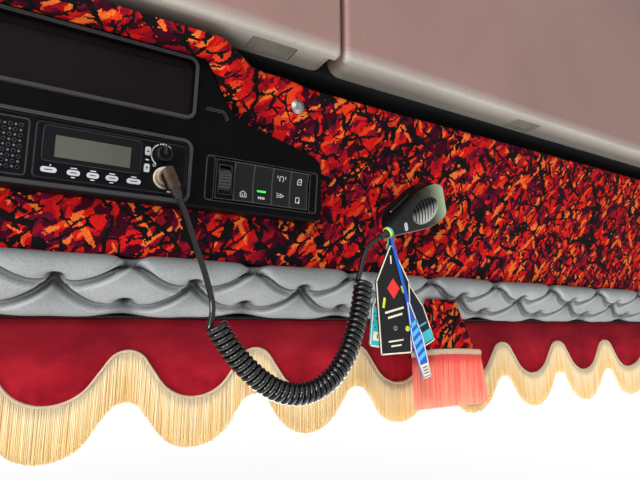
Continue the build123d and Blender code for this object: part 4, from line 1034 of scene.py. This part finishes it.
def tufted_pad():
    """Leather pad from its section, pleated between tufts, with painted shade in its tucks, tents
    and upper edge and painted highlights on its ridges, kept by point.
    """
    low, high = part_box("tufted_pad")
    columns, rows = 1450, 62
    x = np.linspace(low.x, high.x, columns)[None, :]
    section = rounded_line(PAD_SECTION, PAD_ROUNDS)
    steps = np.r_[0, np.cumsum(np.linalg.norm(np.diff(section, axis=0), axis=1))]
    # The top's rear part is hidden, so most rows start in front of it
    s = np.r_[0, np.linspace(PAD_HIDDEN, steps[-1] - PAD_LAST_STEP, rows - 2), steps[-1]]
    y, z = (np.interp(s, steps, section[:, k]) for k in (0, 1))
    along = np.stack([np.gradient(y, s), np.gradient(z, s)], axis=1)
    along /= np.linalg.norm(along, axis=1, keepdims=True)
    inward = np.stack([-along[:, 1], along[:, 0]], axis=1)
    front_rows = (s > TUFTS_START) & (y < high.y - TUFTS_AHEAD)
    tufts = [(np.interp(-row_z, -z[front_rows], s[front_rows]), first)
             for row_z, first in TUFT_ROWS]
    s = s[:, None] + 0 * x
    # Nothing is pulled at the two rear edges
    hold = np.clip((s - PAD_HIDDEN) / PULL_GROWS, 0, 1)
    hold = hold * np.clip((steps[-1] - s) / PULL_ENDS, 0, 1)
    depth, ridge = tuft_depth(x + 0 * s, s, tufts)
    depth, ridge = depth * hold, RIDGE_HIGHLIGHT * ridge * hold
    fill = PAD_FILL * (1 - np.clip(depth / PLEAT_PULL, 0, 1)) * hold
    sway = PAD_SWAY * smooth_noise(x, s, 24.0, 11) * hold
    move = depth - fill + sway
    # The lower edge is drawn up at the lowest tufts
    lowest = np.clip((EDGE_START - z[:, None]) / EDGE_RUN, 0, 1)
    lift = EDGE_RISE * peak(beside(x, TUFT_ROWS[2][1]), EDGE_WIDTH) * lowest
    front = np.stack([
        x + 0 * s, y[:, None] + inward[:, None, 0] * move,
        z[:, None] + inward[:, None, 1] * move + lift,
    ], axis=-1)
    count = rows * columns
    faces = grid_faces(rows, columns, flip=True)
    bottom = np.arange(columns - 1) + (rows - 1) * columns
    faces += np.stack([np.arange(columns - 1), np.arange(columns - 1) + 1, bottom + 1, bottom],
                      axis=1).tolist()
    faces.append((np.arange(rows) * columns).tolist())
    faces.append((np.arange(rows)[::-1] * columns + columns - 1).tolist())
    piece = mesh_piece("pad_cover", front.reshape(count, 3), faces)
    # Painted shade kept by point: tucks, tents below the tufts and the upper edge under the plush;
    # painted highlights on the ridges
    tuck = np.clip(1.75 * depth / PLEAT_PULL - 0.40, 0, TUCK_SHADE)
    upper_edge_shade = EDGE_SHADE * np.clip((z[:, None] - EDGE_SHADE_Z) / EDGE_SHADE_RUN, 0, 1)
    tents = TENT_SHADE * tent_shade(x, s, tufts)
    tuck = np.maximum.reduce([tuck, tents, upper_edge_shade + 0 * depth])
    for name, values in (("tuck", tuck), ("ridge", ridge)):
        piece.data.attributes.new(name, "FLOAT", "POINT").data.foreach_set("value", values.ravel())
    dress(piece, looks["leather"])
    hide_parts("tufted_pad")


tufted_pad()


# Pelmet: velvet with its scalloped hem, braid and fringe
SCALLOP_PITCH = 0.135
SCALLOP_SLOPE = radians(55.0)
PEAK_RADIUS = 0.019
LOBE_RADIUS = 0.046
PEAK_Z = -0.4748
FRINGE_LENGTH = 0.047
BRAID_HEIGHT = 0.003
VELVET_THICKNESS, VELVET_FOLD, VELVET_PUCKER = 0.0022, 0.0014, 0.0005
VELVET_SETBACK = 0.0006
# Pitch of the braid's ridges, and how many pitches they lean across it
PLAIT_PITCH, PLAIT_LEAN = 0.0026, 2.2
# How far braid and threads stay off the pelmet's ends, and the threads' start above its hem
BRAID_INSET, THREAD_INSET, THREAD_START = 0.001, 0.002, 0.001
# Threads: radius, layers, their distance in radii, and how uneven they are in length, lean and
# depth, and in bundles
THREAD_RADIUS, THREAD_LAYERS, LAYER_STEP = 0.00085, 2, 1.3
THREAD_LENGTHS, THREAD_LEAN, THREAD_DEPTH = (-0.0003, 0.0006), 0.00025, 0.0003
BUNDLE_LEAN, BUNDLE_SWING = 0.0007, 0.0006


def hem(x):
    """Height of the scalloped hem: peak and lobe arcs joined by straight slopes."""
    low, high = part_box("pelmet")
    half = SCALLOP_PITCH / 2
    last_lobe = (int((high.x - low.x) / SCALLOP_PITCH) - 1) * half
    near = np.abs((x + SCALLOP_PITCH) % SCALLOP_PITCH - half)
    # The slope past the last lobe reaches the pelmet's end
    past = np.abs(x) - last_lobe
    near = np.where(past > 0, half * (1 - past / (high.x - last_lobe)), near)
    peak_reach, lobe_reach = PEAK_RADIUS * sin(SCALLOP_SLOPE), LOBE_RADIUS * sin(SCALLOP_SLOPE)
    sunk = 1 - cos(SCALLOP_SLOPE)
    peak_arc = PEAK_Z - PEAK_RADIUS + np.sqrt(np.clip(PEAK_RADIUS ** 2 - near ** 2, 0, None))
    straight = PEAK_Z - PEAK_RADIUS * sunk - (near - peak_reach) * tan(SCALLOP_SLOPE)
    run = half - peak_reach - lobe_reach
    lobe_z = PEAK_Z - PEAK_RADIUS * sunk - run * tan(SCALLOP_SLOPE) - LOBE_RADIUS * sunk
    lobe_arc = lobe_z + LOBE_RADIUS - np.sqrt(
        np.clip(LOBE_RADIUS ** 2 - (half - near) ** 2, 0, None))
    lower = np.where(half - near < lobe_reach, lobe_arc, straight)
    return np.where(near < peak_reach, peak_arc, lower)


def velvet_pelmet():
    """Velvet down to its hem, in soft folds that pucker near the hem."""
    low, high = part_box("pelmet")
    columns, rows = 900, 34
    x = np.linspace(low.x, high.x, columns)[None, :]
    share = np.linspace(0, 1, rows)[:, None]
    z = high.z + (hem(x) - high.z) * share
    folds = VELVET_FOLD * smooth_noise(x, 0.12 * z, 60.0, 21) * share ** 0.7
    pucker = VELVET_PUCKER * smooth_noise(x, 0.2 * z, 420.0, 23) * np.clip(share * 2 - 1, 0, 1) ** 2
    wave = folds + pucker
    y_front = low.y + VELVET_SETBACK + wave
    front = np.stack([x + 0 * z, y_front + 0 * z, z], axis=-1)
    back = np.stack([x + 0 * z, y_front + VELVET_THICKNESS + 0 * z, z], axis=-1)
    piece = slab("velvet_pelmet", front, back)
    dress(piece, looks["velvet"])
    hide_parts("pelmet")
    return piece


def braid(name, x, z, y, height, thickness, look):
    """Flat braid along a line, its front plaited in slanting ridges."""
    rows = 9
    along = np.r_[0, np.cumsum(np.hypot(np.diff(x), np.diff(z)))]
    tilt = np.stack([np.gradient(x), np.gradient(z)], axis=1)
    tilt /= np.linalg.norm(tilt, axis=1, keepdims=True)
    across = np.linspace(1, 0, rows)[:, None]
    turns = along[None, :] / PLAIT_PITCH + np.abs(across - 0.5) * PLAIT_LEAN
    ridge = np.abs(np.sin(pi * turns))
    crown_out = np.sqrt(np.clip(1 - (2 * across - 1) ** 4, 0, None))
    out = thickness * (0.55 * crown_out + 0.45 * crown_out * ridge)
    offset = height * across
    spot_x = x[None, :] - tilt[None, :, 1] * offset
    spot_z = z[None, :] + tilt[None, :, 0] * offset
    front = np.stack([spot_x, y - out, spot_z], axis=-1)
    back = np.stack([spot_x, y + 0 * out, spot_z], axis=-1)
    return dress(slab(name, front, back), look)


def fringe_strands(name, x, top, foot, y, look):
    """Hanging threads from a line: x and top heights, bundled and a little uneven."""
    lines, radii = [], []
    share = np.linspace(0, 1, 6)
    taper = np.array([0.9, 1.0, 1.0, 1.0, 1.0, 0.9])
    pitch = x[1] - x[0]
    for layer in range(THREAD_LAYERS):
        spots = x + rng.uniform(-0.2, 0.2, len(x)) * pitch + layer * pitch / 2
        upper = np.interp(spots, x, top)
        lower = np.interp(spots, x, foot) + rng.uniform(*THREAD_LENGTHS, len(x))
        bundle = BUNDLE_LEAN * smooth_noise(spots, 0 * spots, 260.0, 31)
        lean = bundle + rng.normal(0, THREAD_LEAN, len(x))
        apart = rng.uniform(-THREAD_DEPTH, THREAD_DEPTH, len(x))
        depth = y + layer * THREAD_RADIUS * LAYER_STEP + apart
        swing = BUNDLE_SWING * smooth_noise(spots, 0 * spots, 180.0, 37)
        lines.append(np.stack([
            spots[:, None] + lean[:, None] * share[None] ** 1.5,
            depth[:, None] + swing[:, None] * share[None],
            upper[:, None] + (lower - upper)[:, None] * share[None],
        ], axis=-1))
        radii.append(THREAD_RADIUS * rng.uniform(0.88, 1.1, len(x))[:, None] * taper[None])
    sides = 4
    piece = tubes(name, np.concatenate(lines), np.concatenate(radii), sides)
    drop = np.repeat(np.tile(share, THREAD_LAYERS * len(x)), sides)
    piece.data.attributes.new("drop", "FLOAT", "POINT").data.foreach_set("value", drop)
    return dress(piece, look)


def pelmet():
    """Velvet, gold threads and braid."""
    sheet = velvet_pelmet()
    low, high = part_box("pelmet_fringe")
    edge = np.linspace(low.x + BRAID_INSET, high.x - BRAID_INSET, 2200)
    line = hem(edge)
    middle = (low.y + high.y) / 2
    threads = np.linspace(low.x + THREAD_INSET, high.x - THREAD_INSET, 1500)
    gold = fringe_strands(
        "pelmet_strands", threads, hem(threads) + THREAD_START, hem(threads) - FRINGE_LENGTH,
        middle - 0.0002, looks["gold"])
    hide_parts("pelmet_fringe")
    edging = braid("pelmet_braid", edge, line, high.y, BRAID_HEIGHT, high.y - low.y,
                   looks["braid"])


pelmet()


# Pennant: plush with a cream braid and a coral fringe; its middle and half width at top and foot
PENNANT_MIDDLE = (0.441, 0.445)
PENNANT_HALF = (0.0236, 0.0575)
PENNANT_ROUND = 0.003
PENNANT_BOW = 0.0012
PENNANT_SAG = 0.0025
PENNANT_PILE = 0.0003
# Lift of the hem's ends over the cloth's foot, the threads' start above the hem and their end
# above the fringe's foot
PENNANT_LIFT, PENNANT_START, PENNANT_END = 0.001, 0.003, 0.001
PENNANT_BRAID, PENNANT_BRAID_THICKNESS = 0.008, 0.0035
PENNANT_FRINGE_HALF = 0.0585
# The threads spread and drift to the right towards their free ends, over this fall
PENNANT_SPREAD, PENNANT_DRIFT, PENNANT_FALL = 0.09, 0.006, 0.06


def pennant_hem(x, low):
    """Height of the pennant's foot, which sags at its ends."""
    turn = (x - PENNANT_MIDDLE[1]) / PENNANT_FRINGE_HALF * pi / 2
    return low.z + PENNANT_LIFT + PENNANT_SAG * np.cos(turn)


def pennant_cloth():
    """Plush cloth that widens downwards, bowed out and rounded along its edges."""
    low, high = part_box("pennant")
    columns, rows = 44, 40
    share = np.linspace(0, 1, rows)[:, None]
    half = PENNANT_HALF[0] + (PENNANT_HALF[1] - PENNANT_HALF[0]) * share
    centre = PENNANT_MIDDLE[0] + (PENNANT_MIDDLE[1] - PENNANT_MIDDLE[0]) * share
    across = np.linspace(-1, 1, columns)[None, :]
    x = centre + half * across
    z = high.z + (low.z - high.z) * share + 0 * across
    edge = np.minimum.reduce([
        (1 - np.abs(across)) * half, (high.z - z), (z - low.z) + 0.004 + 0 * across])
    bow_out = PENNANT_BOW * np.cos(across * pi / 2) * np.ones_like(z)
    pile = PENNANT_PILE * smooth_noise(x, z, 900.0, 41)
    front = np.stack([x, low.y + rolled(edge, PENNANT_ROUND) - bow_out + pile, z], axis=-1)
    back = np.stack([x, high.y + 0 * z, z], axis=-1)
    cloth = slab("pennant_cloth", front, back)
    dress(cloth, looks["plush"])
    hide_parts("pennant")
    return cloth


def pennant_strands(low):
    """Coral threads from the hem, spread towards their free ends."""
    fringe_low, fringe_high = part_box("pennant_fringe")
    foot = PENNANT_MIDDLE[1]
    spots = np.linspace(foot - PENNANT_FRINGE_HALF, foot + PENNANT_FRINGE_HALF, 118)
    spread = (spots - foot) * PENNANT_SPREAD + PENNANT_DRIFT
    strands = fringe_strands(
        "pennant_strands", spots, pennant_hem(spots, low) + PENNANT_START,
        0 * spots + fringe_low.z + PENNANT_END, (fringe_low.y + fringe_high.y) / 2,
        looks["coral"])
    for vertex in strands.data.vertices:
        fall = (low.z - vertex.co.z) / PENNANT_FALL
        if fall > 0:
            vertex.co.x += float(np.interp(vertex.co.x, spots, spread)) * fall
    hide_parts("pennant_fringe")
    return strands


def pennant():
    """Cloth, threads and braid."""
    low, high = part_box("pennant")
    foot, reach = PENNANT_MIDDLE[1], PENNANT_FRINGE_HALF + 0.0005
    cloth, strands = pennant_cloth(), pennant_strands(low)
    line = np.linspace(foot - reach, foot + reach, 260)
    edging = braid("pennant_braid", line, pennant_hem(line, low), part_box("pennant_fringe")[1].y,
                   PENNANT_BRAID, PENNANT_BRAID_THICKNESS, looks["braid"])


pennant()


# Small prints: shapes are lists of points in millimetres, each a thin raised patch
INK_LIFT = 0.12


def bar(u, v, width, height, turn=0.0):
    """A rectangle round a middle, turned by degrees."""
    c, s = cos(radians(turn)), sin(radians(turn))
    corners = [(-width, -height), (width, -height), (width, height), (-width, height)]
    return [(u + (x * c - y * s) / 2, v + (x * s + y * c) / 2) for x, y in corners]


def disc(u, v, radius, sides=14):
    """A round dot."""
    return [(u + radius * cos(2 * pi * k / sides), v + radius * sin(2 * pi * k / sides))
            for k in range(sides)]


def strokes(points, width, closed=False):
    """Bars along a line of points."""
    ends = points[1:] + points[:1] if closed else points[1:]
    made = []
    for (u1, v1), (u2, v2) in zip(points, ends):
        run = sqrt((u2 - u1) ** 2 + (v2 - v1) ** 2)
        turn = np.degrees(np.arctan2(v2 - v1, u2 - u1))
        made.append(bar((u1 + u2) / 2, (v1 + v2) / 2, run + 0.7 * width, width, turn))
    return made


def bow(u, v, radius, start, end, width, steps=14):
    """Bars along an arc, in degrees."""
    turns = np.radians(np.linspace(start, end, steps))
    return strokes([(u + radius * cos(t), v + radius * sin(t)) for t in turns], width)


def prints(name, groups, look):
    """One piece of thin patches: groups are (where, shapes); where turns u, v, w into metres."""
    points, faces = [], []
    for where, shapes in groups:
        for shape in shapes:
            first, sides = len(points), len(shape)
            for lift in (0.0, INK_LIFT):
                points += [where(u, v, lift) for u, v in shape]
            faces.append([first + k for k in range(sides)][::-1])
            faces.append([first + sides + k for k in range(sides)])
            for k in range(sides):
                after = (k + 1) % sides
                faces.append([first + k, first + after, first + sides + after, first + sides + k])
    return dress(mesh_piece(name, points, faces, smooth=False), looks[look])


def on_console(base):
    """Place on the console at a height in millimetres above its face."""
    def where(u, v, lift):
        return on_plane(CONSOLE_TOP, CONSOLE_LEAN, u * MM, v * MM, (base + lift) * MM)
    return where


# A rocker's hollow front: lower end, lowest line and upper end, as place and height
ROCKER_LINE = [(-131.25, 1.0), (-111.5, -1.4), (-93.75, 1.8)]


def on_rocker(u, v, lift):
    """Place on a rocker's hollow front, on the curve through its three lines."""
    w = 0.0
    for k, (spot, height) in enumerate(ROCKER_LINE):
        (one, _), (other, _) = ROCKER_LINE[:k] + ROCKER_LINE[k + 1:]
        w += height * (v - one) * (v - other) / ((spot - one) * (spot - other))
    return on_plane(CONSOLE_TOP, CONSOLE_LEAN, u * MM, v * MM, (w + 0.03 + lift) * MM)


def lifted(where):
    """The same place, one layer of ink higher."""
    def above(u, v, lift):
        return where(u, v, lift + INK_LIFT)
    return above


# Radio, in millimetres on the console's face: ends of the keys, knob, heights of the faces
KEY_SPANS = [(-23.1, -11.5), (-4.2, 5.6), (10.5, 20.0), (25.1, 35.0), (41.8, 53.4)]
KEY_MIDDLES = [(a + b) / 2 for a, b in KEY_SPANS]
KEY_ROW_V = -126.4
CHANNEL_U = 57.4
CHANNEL_V = (-97.8, -112.9)
KNOB = (70.5, -99.5)
PLATE_TOP, KEY_TOP = -0.38, 1.12
SPEAKER, SPEAKER_FACE = (-61.0, -110.5), -1.98
SPEAKER_PITCH = (7.4, 8.4)
# Bars in the place of words: middle, width, height
PLATE_BARS = [(78.5, -131.3, 4.4, 0.8), (41, -93.1, 3.4, 0.9), (46, -93.1, 3.4, 0.9)]
# Dots that go on where the arc round the knob ends: degrees and radius
KNOB_DOTS = [(105, 0.7), (92, 0.8), (78, 0.6), (62, 0.6), (52, 0.6)]
# Width of the lines of the rockers' signs
SIGN_LINE = 0.55
# Middle, width and height of the green lamp
SWITCH_LAMP = (167.6, -118.6, 9.4, 1.9)
# Pill on the microphone, from the middle of its front: place, width, straight run
PILL_U, PILL_V, PILL_WIDTH, PILL_RUN = -20.6, -5.2, 4.2, 6.0


def radio_labels():
    """Plain bars for the words by the keys, an arc and dots round the knob."""
    labels = [bar(u, KEY_ROW_V + 3.9, 4.6, 0.75) for u in KEY_MIDDLES[1:]]
    labels += [bar(u, KEY_ROW_V - 3.7, 3.0, 0.75) for u in KEY_MIDDLES[1:4]]
    labels += [bar(KEY_MIDDLES[0] + 1, KEY_ROW_V + 4.0, 0.9, 1.3), bar(CHANNEL_U, -105.4, 2.6, 1.0)]
    labels += bow(*KNOB, 10.0, 118, 236, 0.95)
    labels += [disc(KNOB[0] + 10.2 * cos(radians(t)), KNOB[1] + 10.2 * sin(radians(t)), size)
               for t, size in KNOB_DOTS]
    labels += bow(KNOB[0] - 6.8, KNOB[1] - 9.8, 1.1, 0, 360, 0.45)
    return labels + [bar(*spot) for spot in PLATE_BARS]


def rocker_signs():
    """Plain signs on the rockers: box, lamp, beam, page, latch and four strokes."""
    box = strokes([(-3, -3), (3, -3), (3, 1), (0, 3), (-3, 1)], SIGN_LINE, True)
    box += [bar(-1, -1, 0.6, 3.4), bar(1.2, -0.6, 0.6, 3.0)]
    box = [[(u + 148.5, v - 123.5) for u, v in shape] for shape in box]
    lamp = bow(188.5, -102.5, 2.1, -20, 200, SIGN_LINE)
    lamp += [bar(u, v, 0.6, height) for u, v, height in (
        (186.6, -104.4, 2.4), (190.4, -104.4, 2.4), (184.2, -101.5, 2.6), (192.8, -101.5, 2.6))]
    beam = strokes([(188, -118), (192, -120), (188, -122)], SIGN_LINE, True)
    beam += [bar(185.3, v, 2.6, SIGN_LINE, turn)
             for v, turn in ((-118.2, -16), (-120, 0), (-121.8, 16))]
    page = strokes([(206.8, -106), (211, -106), (211, -100.5), (208.2, -100.5), (206.8, -102)],
                   SIGN_LINE, True)
    page += [bar(209, -103.2, 2.2, 0.5, 40)]
    latch = strokes([(205.4, -125), (209.6, -125), (209.6, -119.5), (206, -119.5)],
                    SIGN_LINE, True)
    latch += [disc(208.8, -124.6, 1.0)]
    count = [bar(164.6 + 1.9 * k, -125.2, 1.1, 2.3) for k in range(4)]
    return box + lamp + beam + page + latch + count


def speaker_dot_highlights():
    """Two woven grids of grey dots on the speaker's grille, painted highlights on its raised dots.
    """
    grid = [(i - 2.5, j - 2) for i in range(6) for j in range(5)]
    grid += [(i - 3, j - 1.5) for i in range(7) for j in range(4)]
    dots = [disc(SPEAKER[0] + SPEAKER_PITCH[0] * a, SPEAKER[1] + SPEAKER_PITCH[1] * b, 0.9, 8)
            for a, b in grid]
    prints("speaker_dot_highlights", [(on_console(SPEAKER_FACE), dots)], "dot")


def key_marks():
    """A line on each key, an arrow up and an arrow down on the channel keys."""
    marks = [bar(u, KEY_ROW_V, 0.5 * (b - a), 0.8) for u, (a, b) in zip(KEY_MIDDLES, KEY_SPANS)]
    marks += [[(CHANNEL_U - 1.2 * way, v - 1.1 * way), (CHANNEL_U + 1.2 * way, v - 1.1 * way),
               (CHANNEL_U, v + 1.3 * way)] for v, way in zip(CHANNEL_V, (1, -1))]
    prints("key_marks", [(on_console(KEY_TOP), marks)], "ink")


def switch_lamp():
    """Green lamp with nipped corners on a rocker, faintly lit."""
    u, v, width, height = SWITCH_LAMP
    shapes = [bar(u, v, width, height - 0.4), bar(u, v, width - 0.8, height)]
    glow = prints("switch_lamp", [(on_rocker, shapes)], "ink")
    material, tree, shader = surface("lamp_green", (0.03, 0.55, 0.06), 0.4)
    color_from(tree, shader, ramp(tree, noise(tree, place(tree), 400.0), [
        (0.3, (0.02, 0.50, 0.05)), (0.7, (0.04, 0.62, 0.08))]))
    shader.inputs["Emission Color"].default_value = (0.05, 0.9, 0.10, 1)
    shader.inputs["Emission Strength"].default_value = 0.45
    glow.data.materials[0] = material


def on_mic(u, v, lift):
    """Place on the microphone's front, from its middle, u away from the neck."""
    centre = MIC_NECK + MIC_AXIS * (MIC_LENGTH / 2)
    across = MIC_NORMAL.cross(MIC_AXIS)
    return centre + MIC_AXIS * u * MM + across * v * MM + MIC_NORMAL * (0.02 + lift) * MM


def mic_marks():
    """A pale pill with dark rungs near the microphone's neck."""
    pill = [(PILL_U + way * PILL_WIDTH / 2 * cos(t),
             PILL_V + way * (PILL_RUN / 2 + PILL_WIDTH / 2 * sin(t)))
            for way in (1, -1) for t in np.radians(np.linspace(0, 180, 10))]
    prints("mic_mark", [(on_mic, [pill])], "print")
    rungs = [bar(PILL_U, PILL_V + k, 2.0, 0.45) for k in np.linspace(-3.2, 3.2, 5)]
    prints("mic_mark_rungs", [(lifted(on_mic), rungs)], "ink")


prints("console_prints", [(on_console(PLATE_TOP), radio_labels()), (on_rocker, rocker_signs())],
       "print")
speaker_dot_highlights()
key_marks()
switch_lamp()
mic_marks()


# Hanging tags, as cut: name, layer, swing in degrees, length, width, strap in millimetres
TAGS = {
    "black": (1, 2.0, 124.0, 46.0, 6.0),
    "teal": (0, -9.0, 118.0, 26.0, 36.0),
    "blue": (2, 16.5, 156.0, 16.0, 70.0),
    "rear": (-1, 25.0, 126.0, 24.0, 44.0),
}
TAG_THICKNESS, TAG_GAP = 1.6, 0.3
RING_OFFSET = 0.003
RING_RADIUS = 0.0055
RING_WIRE = 0.0008
RING_CENTRE = MIC_NECK - MIC_AXIS * RING_OFFSET
TAG_TOP = RING_CENTRE.z - RING_RADIUS - RING_WIRE - TAG_GAP * MM


def on_tag(name):
    """Place on the front of a tag, u across it and v up from its hanging point."""
    layer, swing = TAGS[name][:2]
    c, s = cos(radians(swing)), sin(radians(swing))
    front = RING_CENTRE.y - (layer * (TAG_THICKNESS + TAG_GAP) + TAG_THICKNESS) * MM

    def where(u, v, lift):
        return (RING_CENTRE.x + (u * c - v * s) * MM, front - lift * MM,
                TAG_TOP + (u * s + v * c) * MM)
    return where


def tag_border(name, inset, width):
    """Bars along a tag's cut edge, below its strap."""
    _, _, length, wide, strap = TAGS[name]
    shoulder = min(42.0, length - strap - 20)
    half = wide / 2 - inset
    return strokes([
        (-1.2, -strap - 3 * inset), (-half, -strap - shoulder), (-half + 2, -length + inset),
        (half - 2, -length + inset), (half, -strap - shoulder), (1.2, -strap - 3 * inset),
    ], width)


def tag_prints():
    """Plain borders, bars and dots on the four cards."""
    cream = [
        (on_tag("black"), tag_border("black", 1.0, 1.5) + [
            bar(-1.5, -24, 1.6, 9), bar(0, -78, 26, 2.2, 12), bar(0.5, -84, 20, 2.2, 12),
            bar(0, -110, 20, 1.6, 4), bar(0, -115, 14, 1.6, 4)] + bow(0, -97, 2.0, 0, 360, 0.6)),
        (on_tag("teal"), tag_border("teal", 1.0, 1.4) + [bar(0.5, -107, 17, 9)]),
        (on_tag("blue"), tag_border("blue", 0.8, 1.2) + [bar(0, -147, 11, 13)]),
        (on_tag("rear"), tag_border("rear", 1.0, 1.3)),
    ]
    prints("tag_print_cream", cream, "cream")
    prints("tag_print_red", [
        (on_tag("black"), [[(0, -66), (-8.5, -55), (0, -44), (8.5, -55)]]),
        (on_tag("teal"), strokes([(-6, -62), (-9, -76)], 3.2)),
    ], "red")
    dots = []
    for row in range(8):
        shift = 0.2 if row % 2 else -3
        dots += [disc(u + shift, -66 - 4.6 * row, 1.0, 8)
                 for u in (-6.4, 0, 6.4) if abs(u + shift) < 10.4]
    marks = [bar(-2.6 + 2.6 * k, -107, 1.2, 4.4) for k in range(4)]
    lines = [bar(0, -144 - 3.2 * k, 6.5, 1.1) for k in range(3)]
    prints("tag_print_ink", [(on_tag("teal"), dots), (lifted(on_tag("teal")), marks),
                             (lifted(on_tag("blue")), lines)], "ink")
    stripes = [bar(0, -96 - 9 * k, 12.5, 4.2, 24) for k in range(5)]
    prints("tag_print_sky", [(on_tag("blue"), stripes),
                             (on_tag("teal"), [bar(7.6, -88, 3.4, 12, 8)])], "sky")
    prints("tag_print_aqua", [(on_tag("rear"), [bar(0, -117, 19, 12), bar(0, -103, 14, 2)])],
           "aqua")
    prints("tag_print_lime", [(on_tag("black"), [
        bar(-13.5, -70, 3.0, 11, -12), bar(12.5, -56, 2.4, 8, 20), disc(16.5, -98, 3.0)])],
        "lime")


# Strings: name, look, shift along the microphone's axis, further reach
TAG_STRINGS = [("string_lime", "lime", -0.0012, 0.0002), ("string_teal", "string", 0.0012, 0.0)]
# How far two turns run along the axis, and how uneven turns and tails are
STRING_RUN, STRING_WOBBLE, TAIL_WOBBLE = 0.0014, 0.0002, 0.0007
# The tails end so far in front of the ring's middle and below the tags' tops
TAIL_AHEAD, TAIL_BELOW = 0.0008, 0.004


def tag_strings():
    """Two strings, each wound twice round the microphone's relief, with a tail to the tags."""
    side = MIC_AXIS.cross(Vector((0, 1, 0))).normalized()
    over = side.cross(MIC_AXIS)
    low = -side if side.z > 0 else side
    for name, look, shift, reach in TAG_STRINGS:
        turns = np.linspace(0, 4 * pi, 49)
        rings = []
        for turn in turns:
            share = turn / (4 * pi)
            along = MIC_AXIS * (shift + STRING_RUN * (share - 0.5))
            radius = RING_RADIUS + reach + STRING_WOBBLE * sin(3 * turn)
            rings.append(RING_CENTRE + along + radius * (cos(turn) * low + sin(turn) * over))
        foot = Vector((RING_CENTRE.x + shift, RING_CENTRE.y - TAIL_AHEAD, TAG_TOP - TAIL_BELOW))
        tail = [rings[-1].lerp(foot, k / 6) + Vector((TAIL_WOBBLE * sin(3 * k), 0, 0))
                for k in range(1, 7)]
        rings = np.array(rings + tail)
        even, _ = resampled(rings, 60)
        loop = tubes(name, even[None], np.full((1, 60), RING_WIRE), 8)
        dress(loop, looks[look])
        if name == "string_lime":
            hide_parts("tag_ring")


tag_prints()
tag_strings()


# Floor, in metres: its share of plain white near the object and far from it, where that
# changes, its radius and its height
FLOOR_GLOW = (0.82, 1.0)
FLOOR_FADE = (1.2, 4.5)
FLOOR_RADIUS, FLOOR_Z = 9.0, -1.5
# Lamps: name, place, aimed at, size, power in watts, colour
LAMPS = [
    ("key", (-1.6, -1.7, 0.1), (0.0, -0.3, -0.3), 1.5, 26.0, (1.0, 0.985, 0.96)),
    ("side", (-1.75, -1.0, -0.45), (0.2, -0.34, -0.42), 0.5, 25.0, (1.0, 0.99, 0.97)),
    ("fill", (1.9, -1.5, -0.3), (0.4, -0.3, -0.3), 1.8, 2.5, (0.95, 0.98, 1.0)),
    ("top", (-0.9, -1.5, 1.3), (-0.2, -0.3, 0.0), 1.6, 11.0, (1.0, 1.0, 1.0)),
    ("windscreen", (0.8, 0.85, -0.80), (0.2, -0.3, -0.45), 0.8, 26.0, (1.0, 1.0, 1.0)),
    ("under", (0.6, -0.40, -1.38), (0.6, -0.40, 0.0), 1.2, 13.0, (1.0, 1.0, 1.0)),
    ("glint_left", (-0.7, -1.5, 0.2), (0.1, -0.35, -0.4), 0.15, 8.0, (1.0, 1.0, 1.0)),
    ("glint_right", (1.2, -0.9, -0.9), (0.2, -0.35, -0.4), 0.15, 1.6, (1.0, 1.0, 1.0)),
]


def seen_plainly(tree):
    """1 for the rays that the camera, mirrors and glass send, 0 for the light on the object."""
    path = add(tree, "LightPath").outputs
    seen = maths(tree, "MAXIMUM", path["Is Camera Ray"], path["Is Glossy Ray"])
    return maths(tree, "MAXIMUM", seen, path["Is Transmission Ray"])


def pale_floor():
    """Floor that fades to plain white and keeps the object's shadow."""
    bpy.ops.mesh.primitive_circle_add(
        vertices=96, radius=FLOOR_RADIUS, fill_type="NGON", location=(0, 0, FLOOR_Z))
    floor = bpy.context.object
    floor.name = "floor"
    material, tree, shader = surface("floor", (0.82, 0.82, 0.81), 0.7)
    color_from(tree, shader, ramp(tree, noise(tree, place(tree), 3.0), [
        (0.3, (0.81, 0.81, 0.80)), (0.7, (0.84, 0.84, 0.83))]))
    glow = add(tree, "Emission", {"Color": (1, 1, 1, 1), "Strength": 1.0})
    away = add(tree, "VectorMath", {0: place(tree)}, operation="LENGTH").outputs["Value"]
    share = fade(tree, away, *FLOOR_FADE, *FLOOR_GLOW, curve="SMOOTHSTEP")
    blend = add(tree, "MixShader", {
        0: maths(tree, "MULTIPLY", seen_plainly(tree), share),
        1: shader.outputs[0], 2: glow.outputs[0]})
    tree.links.new(blend.outputs[0], tree.nodes["Material Output"].inputs["Surface"])
    floor.data.materials.append(material)


def white_world():
    """A dim world for the light, plain white where it is seen."""
    world = bpy.data.worlds.new("studio")
    bpy.context.scene.world = world
    world.use_nodes = True
    tree = world.node_tree
    plain = tree.nodes["Background"]
    plain.inputs["Color"].default_value = (0.93, 0.96, 1.0, 1)
    plain.inputs["Strength"].default_value = 0.25
    white = add(tree, "Background", {"Color": (1, 1, 1, 1), "Strength": 1.0})
    blend = add(tree, "MixShader", {
        0: seen_plainly(tree), 1: plain.outputs[0], 2: white.outputs[0]})
    tree.links.new(blend.outputs[0], tree.nodes["World Output"].inputs["Surface"])


def lamps():
    """Soft square lamps, unseen by the camera."""
    for name, spot, target, size, power, color in LAMPS:
        data = bpy.data.lights.new(name, "AREA")
        data.size = size
        data.energy = power
        data.color = color
        lamp = show(bpy.data.objects.new(name, data))
        lamp.location = spot
        lamp.visible_camera = False
        lamp.rotation_mode = "QUATERNION"
        lamp.rotation_quaternion = (Vector(target) - Vector(spot)).to_track_quat("-Z", "Y")


pale_floor()
white_world()
lamps()
bpy.context.scene.view_settings.view_transform = "Standard"
